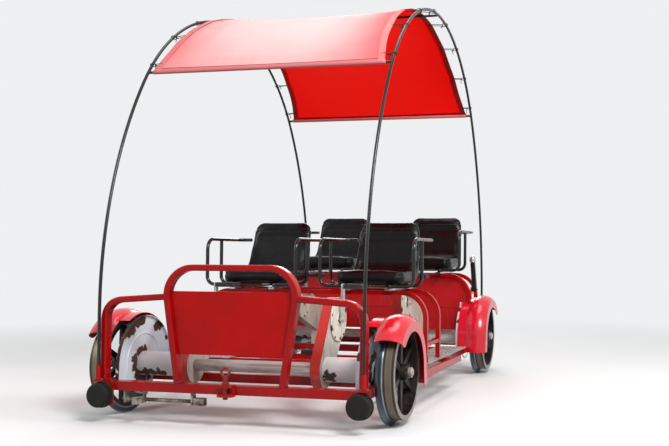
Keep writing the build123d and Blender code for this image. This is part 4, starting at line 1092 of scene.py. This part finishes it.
    def tie(self, side: Side, angle: float, rng: random.Random) -> list[list[Vector]]:
        """Lists the cords of one lacing: a loop round the rod, its knot and two loose tails."""
        eye = self.edge_point(side, angle, self.tie_inset)
        rod = Vector((side.value * self.line.rod_x, *self.line.at(angle)))
        out = Vector((side.value, 0, 0))
        up, along = self.line.outward(angle), self.line.outward(angle + 90)
        r = self.line.rod_r + self.tie_gap
        knot = rod - out * (r + self.knot_gap)
        loop = [eye - up * 0.006, eye + up * 0.004, knot + up * 0.003, rod - out * r + up * r,
                rod + (up + out) * r, rod + (out - up) * r, rod - (out + up) * r,
                knot - up * 0.003, eye - up * 0.006]
        turns = [knot + along * a * 0.005 + up * b * 0.004
                 for a, b in ((1, 1), (-1, 1), (-1, -1), (1, -1), (1, 0.6), (-1, 0.5))]
        routes = [loop, turns]
        for turn in (-1, 1):
            fall = UP * rng.uniform(0.012, 0.026)
            swing = along * rng.uniform(0.004, 0.012) * turn
            routes.append([knot, knot + swing - out * 0.006 - fall * 0.35,
                           knot + swing * 1.8 - out * 0.004 - fall])
        return routes

    def ties(self) -> None:
        """Makes all the lacings as one piece."""
        rng = random.Random(11)
        routes = [route for side in Side for angle in self.tie_angles
                  for route in self.tie(side, angle, rng)]
        new_piece("awning_ties", cord_mesh(routes, self.tie_r), CHASSIS,
                  [self.finishes["cord"]])

    def build(self) -> None:
        """Makes the cloth, its hems, eyelets and lacings."""
        cloth, area, length = self.cloth()
        hems = [self.side_hem(side) for side in Side]
        places = [(self.edge_point(side, angle, self.tie_inset), self.line.outward(angle))
                  for side in Side for angle in self.tie_angles]
        rings = scatter("awning_eyelets", places, Part.EYELET, CHASSIS,
                        self.finishes["eyelet"], radius=0.0075, height=0.0042)
        self.ties()


@dataclass
class SeatPads:
    """Moulded bucket seats: one padded shell, swollen from the solid and copied to all places."""

    finishes: Finishes
    model: str = "seat_shell_front_left"
    voxel: float = 0.0075
    pressure: float = 4.0
    frames: int = 20
    cap: float = 0.006
    margin: float = 0.0002
    seam_height: float = 0.86
    lip_height: float = 0.048
    seam_width: float = 0.0045
    seam_depth: float = 0.0035

    def master(self) -> Mesh:
        """Makes the padded shell of the front left seat."""
        low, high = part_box(self.model)
        work = bmesh.new()
        work.from_mesh(NODES[self.model].data)
        bmesh.ops.remove_doubles(work, verts=work.verts, dist=1e-5)
        mesh = bpy.data.meshes.new("seat")
        work.to_mesh(mesh)
        work.free()
        pad = place_object("seat_temp", mesh)
        shape(pad, "REMESH", mode="VOXEL", voxel_size=self.voxel)
        shape(pad, "SMOOTH", factor=0.6, iterations=26)
        self.swell(pad)
        shape(pad, "SMOOTH", factor=0.5, iterations=12)
        shape(pad, "SUBSURF", levels=1, render_levels=1)
        done = pad.data
        bpy.data.objects.remove(pad)
        self.groove(done, low, high)
        for vertex in done.vertices:
            vertex.co = [min(max(c, a + self.margin), b - self.margin)
                         for c, a, b in zip(vertex.co, low, high)]
        smooth(done)
        return done

    def swell(self, pad: Object) -> None:
        """Swells the skin a little by cloth simulation, and caps how far it may move."""
        rest = [v.co.copy() for v in pad.data.vertices]
        cloth = pad.modifiers.new("swell", "CLOTH")
        cloth.settings.use_pressure = True
        cloth.settings.uniform_pressure_force = self.pressure
        cloth.settings.effector_weights.gravity = 0
        cloth.settings.quality = 4
        cloth.collision_settings.use_collision = False
        for number in range(1, self.frames + 1):
            bpy.context.scene.frame_set(number)
        mesh = frozen_mesh(pad)
        pad.modifiers.clear()
        pad.data = mesh
        bpy.context.scene.frame_set(1)
        for vertex, start in zip(mesh.vertices, rest):
            move = vertex.co - start
            if move.length > self.cap:
                vertex.co = start + move * (self.cap / move.length)

    def groove(self, mesh: Mesh, low: Vector, high: Vector) -> None:
        """Presses the moulded seam across the upper back and the line under the front lip."""
        seam = low.z + (high.z - low.z) * self.seam_height
        lip, middle = low.z + self.lip_height, (low.y + high.y) / 2
        normals = [v.normal.copy() for v in mesh.vertices]
        for vertex, normal in zip(mesh.vertices, normals):
            line = lip if vertex.co.y < middle else seam
            depth = math.exp(-((vertex.co.z - line) / self.seam_width) ** 2)
            vertex.co -= normal * depth * self.seam_depth

    def build(self) -> None:
        """Makes the four padded seats."""
        master = self.master()
        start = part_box(self.model)[0]
        for place in PLACES:
            node = f"seat_shell_{place}"
            mesh = master.copy()
            mesh.transform(Matrix.Translation(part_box(node)[0] - start))
            piece = new_piece(f"seat_pad_{place}", mesh, f"seat_{place}",
                              [self.finishes["skin"]])
            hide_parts(node)


@dataclass
class Fasteners:
    """Bolts, rivets and weld beads of the fixed frame, the wheels and the pedal units."""

    finishes: Finishes
    block_half: float = 0.021
    block_foot: float = 0.0136
    block_pitch: float = 0.049
    hub_ring_r: float = 0.0335
    hub_inset: float = 0.0035
    disc_ring_r: float = 0.101
    disc_inset: float = 0.0045
    disc_apart: float = 0.69
    shoe_y: float = 1.309
    shoe_pitch: float = 0.0185
    shoe_sink: float = 0.0003
    bead_count: int = 26
    bead_rise: float = 0.0015
    # X and half width of each post, its place and half depth along the car, and how square it is
    posts: tuple[Pair, ...] = ((0.2615, 0.016), (0.650, 0.0155))
    post_inset: float = 0.025
    post_half: float = 0.0255
    squared: Pair = (1.25, 1.12)

    def ring(self, centre: Sequence[float], radius: float, count: int, first: float,
             axis: int) -> list[tuple[Vector, Vector]]:
        """Lists places evenly round a circle that stands across the car.

        Args:
            centre: centre of the circle.
            radius: its radius.
            count: how many places.
            first: angle of the first, in degrees.
            axis: 1 or -1, for the way along X that they face.

        Returns:
            Point and axis of each place.
        """
        x, y, z = centre
        turns = [polar(360 / count * k + first, radius) for k in range(count)]
        return [(Vector((x, y + along, z + up)), Vector((axis, 0, 0))) for along, up in turns]

    def hub_bolts(self) -> None:
        """Puts a ring of bolts on each wheel's hub."""
        for end, sign in ENDS.items():
            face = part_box(f"{end}_wheels")[1].x - self.hub_inset
            places = [place for side in Side for place in self.ring(
                (side.value * face, sign * AXLE_Y, AXLE_Z), self.hub_ring_r, count=6, first=30,
                axis=side.value)]
            scatter(f"{end}_hub_bolts", places, Part.HEX_BOLT, f"{end}_wheelset",
                    self.finishes["dark"], radius=0.0055, height=0.005)

    def disc_bolts(self) -> None:
        """Puts rivets on the crank discs."""
        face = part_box("crank_discs")[1].x - self.disc_inset
        places = [place for y, z in SPINDLES for x in (face - self.disc_apart, face)
                  for place in self.ring((x, y, z), self.disc_ring_r, count=5, first=20, axis=1)]
        scatter("disc_bolts", places, Part.RIVET, CHASSIS, self.finishes["bolt"],
                radius=0.005, height=0.004)

    def shoe_bolts(self) -> None:
        """Puts two bolts through each foot plate of the awning's hoops."""
        top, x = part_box("hoop_sockets")[0].z - self.shoe_sink, HoopLine().rod_x
        places = [(Vector((side.value * x + shift, end * self.shoe_y, top)), UP) for side in Side
                  for end in ENDS.values() for shift in (-self.shoe_pitch, self.shoe_pitch)]
        scatter("shoe_bolts", places, Part.HEX_BOLT, CHASSIS,
                self.finishes["bolt"], radius=0.005, height=0.005)

    def weld_beads(self) -> None:
        """Lays a weld bead round each post of the end guard, where it meets the front beam."""
        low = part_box("front_guard")[0]
        half_y, places = self.post_half, []
        for side in Side:
            for x, half_x in self.posts:
                for k in range(self.bead_count):
                    turn = math.tau * k / self.bead_count
                    across = half_x * math.cos(turn) * self.squared[0]
                    along = half_y * math.sin(turn) * self.squared[1]
                    spot = Vector((side.value * x + max(-half_x, min(half_x, across)),
                                   low.y + self.post_inset + max(-half_y, min(half_y, along)),
                                   low.z + self.bead_rise))
                    places.append((spot, UP))
        scatter("guard_welds", places, Part.RIVET, CHASSIS, self.finishes["weld"],
                radius=0.0026, height=0.004)

    def block_bolts(self) -> None:
        """Puts two bolts through the foot of each bearing block."""
        low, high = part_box("bearing_blocks")
        places = [(Vector((side.value * (high.x - self.block_half), end * AXLE_Y + shift,
                           low.z + self.block_foot)), UP) for side in Side
                  for end in ENDS.values() for shift in (-self.block_pitch, self.block_pitch)]
        scatter("block_bolts", places, Part.HEX_BOLT, CHASSIS,
                self.finishes["bolt"], radius=0.007, height=0.008)

    def build(self) -> None:
        """Makes every group of fasteners."""
        self.block_bolts()
        self.hub_bolts()
        self.disc_bolts()
        self.shoe_bolts()
        self.weld_beads()


@dataclass(frozen=True)
class Lamp:
    """Soft round lamp: its name, place and width in metres, and its power in watts."""

    name: str
    place: Triple
    size: float
    power: float

    def hang(self, aim: Vector) -> None:
        """Hangs the lamp so that it points at the aim."""
        data = bpy.data.lights.new(self.name, "AREA")
        data.shape = "DISK"
        data.size = self.size
        data.energy = self.power
        lamp = place_object(self.name, data)
        lamp.location = self.place
        lamp.rotation_euler = (aim - lamp.location).to_track_quat("-Z", "Y").to_euler()


@dataclass
class Studio:
    """Pale floor, soft lamps and the camera."""

    pixels: tuple[int, int] = (669, 446)
    focal_px: float = 930.0
    centre_px: Pair = (446.0, 223.0)
    place: Triple = (1.981, -5.235, 0.817)
    turn_left: float = 13.6
    tilt_up: float = 1.79
    roll: float = 0.3
    aim: Triple = (0.0, 0.0, 0.8)
    floor_half: float = 30.0
    blend: Pair = (2.2, 6.5)
    surround: str = "#f4f5f6"
    level: float = 0.95
    ground: str = "#ececeb"
    bounce: str = "#8f8d8a"
    sky: str = "#eef1f5"
    sky_level: float = 0.38
    lamps: tuple[Lamp, ...] = (
        Lamp("key", (3.6, -4.2, 4.8), 2.2, 300.0), Lamp("fill", (-4.6, -3.6, 2.8), 2.6, 90.0),
        Lamp("side", (5.6, -1.2, 3.2), 1.2, 110.0), Lamp("top", (0.5, 0.3, 5.6), 3.0, 85.0),
        Lamp("back", (-1.5, 5.5, 3.6), 2.6, 90.0))

    def seen(self, tree: NodeTree) -> Source:
        """Gives 1 for rays that show the surround: straight, mirrored or passed through."""
        rays = add_node(tree, "ShaderNodeLightPath").outputs
        total = rays["Is Camera Ray"]
        for name in ("Is Glossy Ray", "Is Transmission Ray"):
            total = add_node(tree, "ShaderNodeMath", {0: total, 1: rays[name]},
                             operation="MAXIMUM")
        return total

    def floor(self) -> None:
        """Lays the pale floor under the wheels."""
        work = bmesh.new()
        bmesh.ops.create_grid(work, x_segments=1, y_segments=1, size=self.floor_half)
        mesh = bpy.data.meshes.new("floor")
        work.to_mesh(mesh)
        work.free()
        canvas = Canvas("pale_floor")
        away = canvas.add("ShaderNodeVectorMath", {0: canvas.point}, operation="LENGTH")
        seen = self.seen(canvas.tree)
        tone = canvas.add("ShaderNodeMix", {
            MIX_FACTOR: seen, COLOR_A: linear(self.bounce), COLOR_B: linear(self.ground)},
            data_type="RGBA")
        near = canvas.add("ShaderNodeBsdfDiffuse", {"Color": tone})
        glow = canvas.add("ShaderNodeEmission", {
            "Color": linear(self.surround), "Strength": self.level})
        far = canvas.overlap(canvas.above(away, *self.blend), seen)
        mixed = canvas.add("ShaderNodeMixShader", {0: far, 1: near, 2: glow})
        canvas.add("ShaderNodeOutputMaterial", {"Surface": mixed})
        mesh.materials.append(canvas.material)
        place_object("floor", mesh)

    def world(self) -> None:
        """Sets a plain pale surround."""
        world = bpy.data.worlds.new("studio")
        bpy.context.scene.world = world
        world.use_nodes = True
        tree = world.node_tree
        tree.nodes.clear()
        light, back = (
            add_node(tree, "ShaderNodeBackground", {"Color": linear(color), "Strength": strength})
            for color, strength in ((self.sky, self.sky_level), (self.surround, self.level)))
        mixed = add_node(tree, "ShaderNodeMixShader", {0: self.seen(tree), 1: light, 2: back})
        add_node(tree, "ShaderNodeOutputWorld", {"Surface": mixed})

    def camera(self) -> None:
        """Sets the camera at the photograph's angle."""
        data = bpy.data.cameras.new("camera")
        width, height = self.pixels
        data.sensor_width = 36.0
        data.lens = self.focal_px * data.sensor_width / width
        data.shift_x = (width / 2 - self.centre_px[0]) / width
        data.shift_y = (self.centre_px[1] - height / 2) / width
        data.clip_end = 200
        camera = place_object("camera", data)
        look = (Matrix.Rotation(math.radians(self.turn_left), 4, "Z")
                @ Matrix.Rotation(math.radians(90 + self.tilt_up), 4, "X")
                @ Matrix.Rotation(math.radians(self.roll), 4, "Z"))
        camera.matrix_world = Matrix.Translation(self.place) @ look
        bpy.context.scene.camera = camera

    def build(self) -> None:
        """Makes the whole studio."""
        self.floor()
        self.world()
        for lamp in self.lamps:
            lamp.hang(Vector(self.aim))
        self.camera()
        bpy.context.scene.view_settings.view_transform = "Standard"


def main() -> None:
    """Dresses the frame, adds the soft parts and the small fittings, and sets the studio."""
    logging.basicConfig(level=logging.INFO, format="%(name)s: %(message)s")
    finishes = Finishes()
    for node, name in DRESS.items():
        finishes.dress(node, name)
    for prefix, name in DRESS_BY_PLACE.items():
        for place in PLACES:
            finishes.dress(f"{prefix}_{place}", name)
    Awning(finishes).build()
    SeatPads(finishes).build()
    Fasteners(finishes).build()
    Studio().build()


if __name__ == "__main__":
    main()
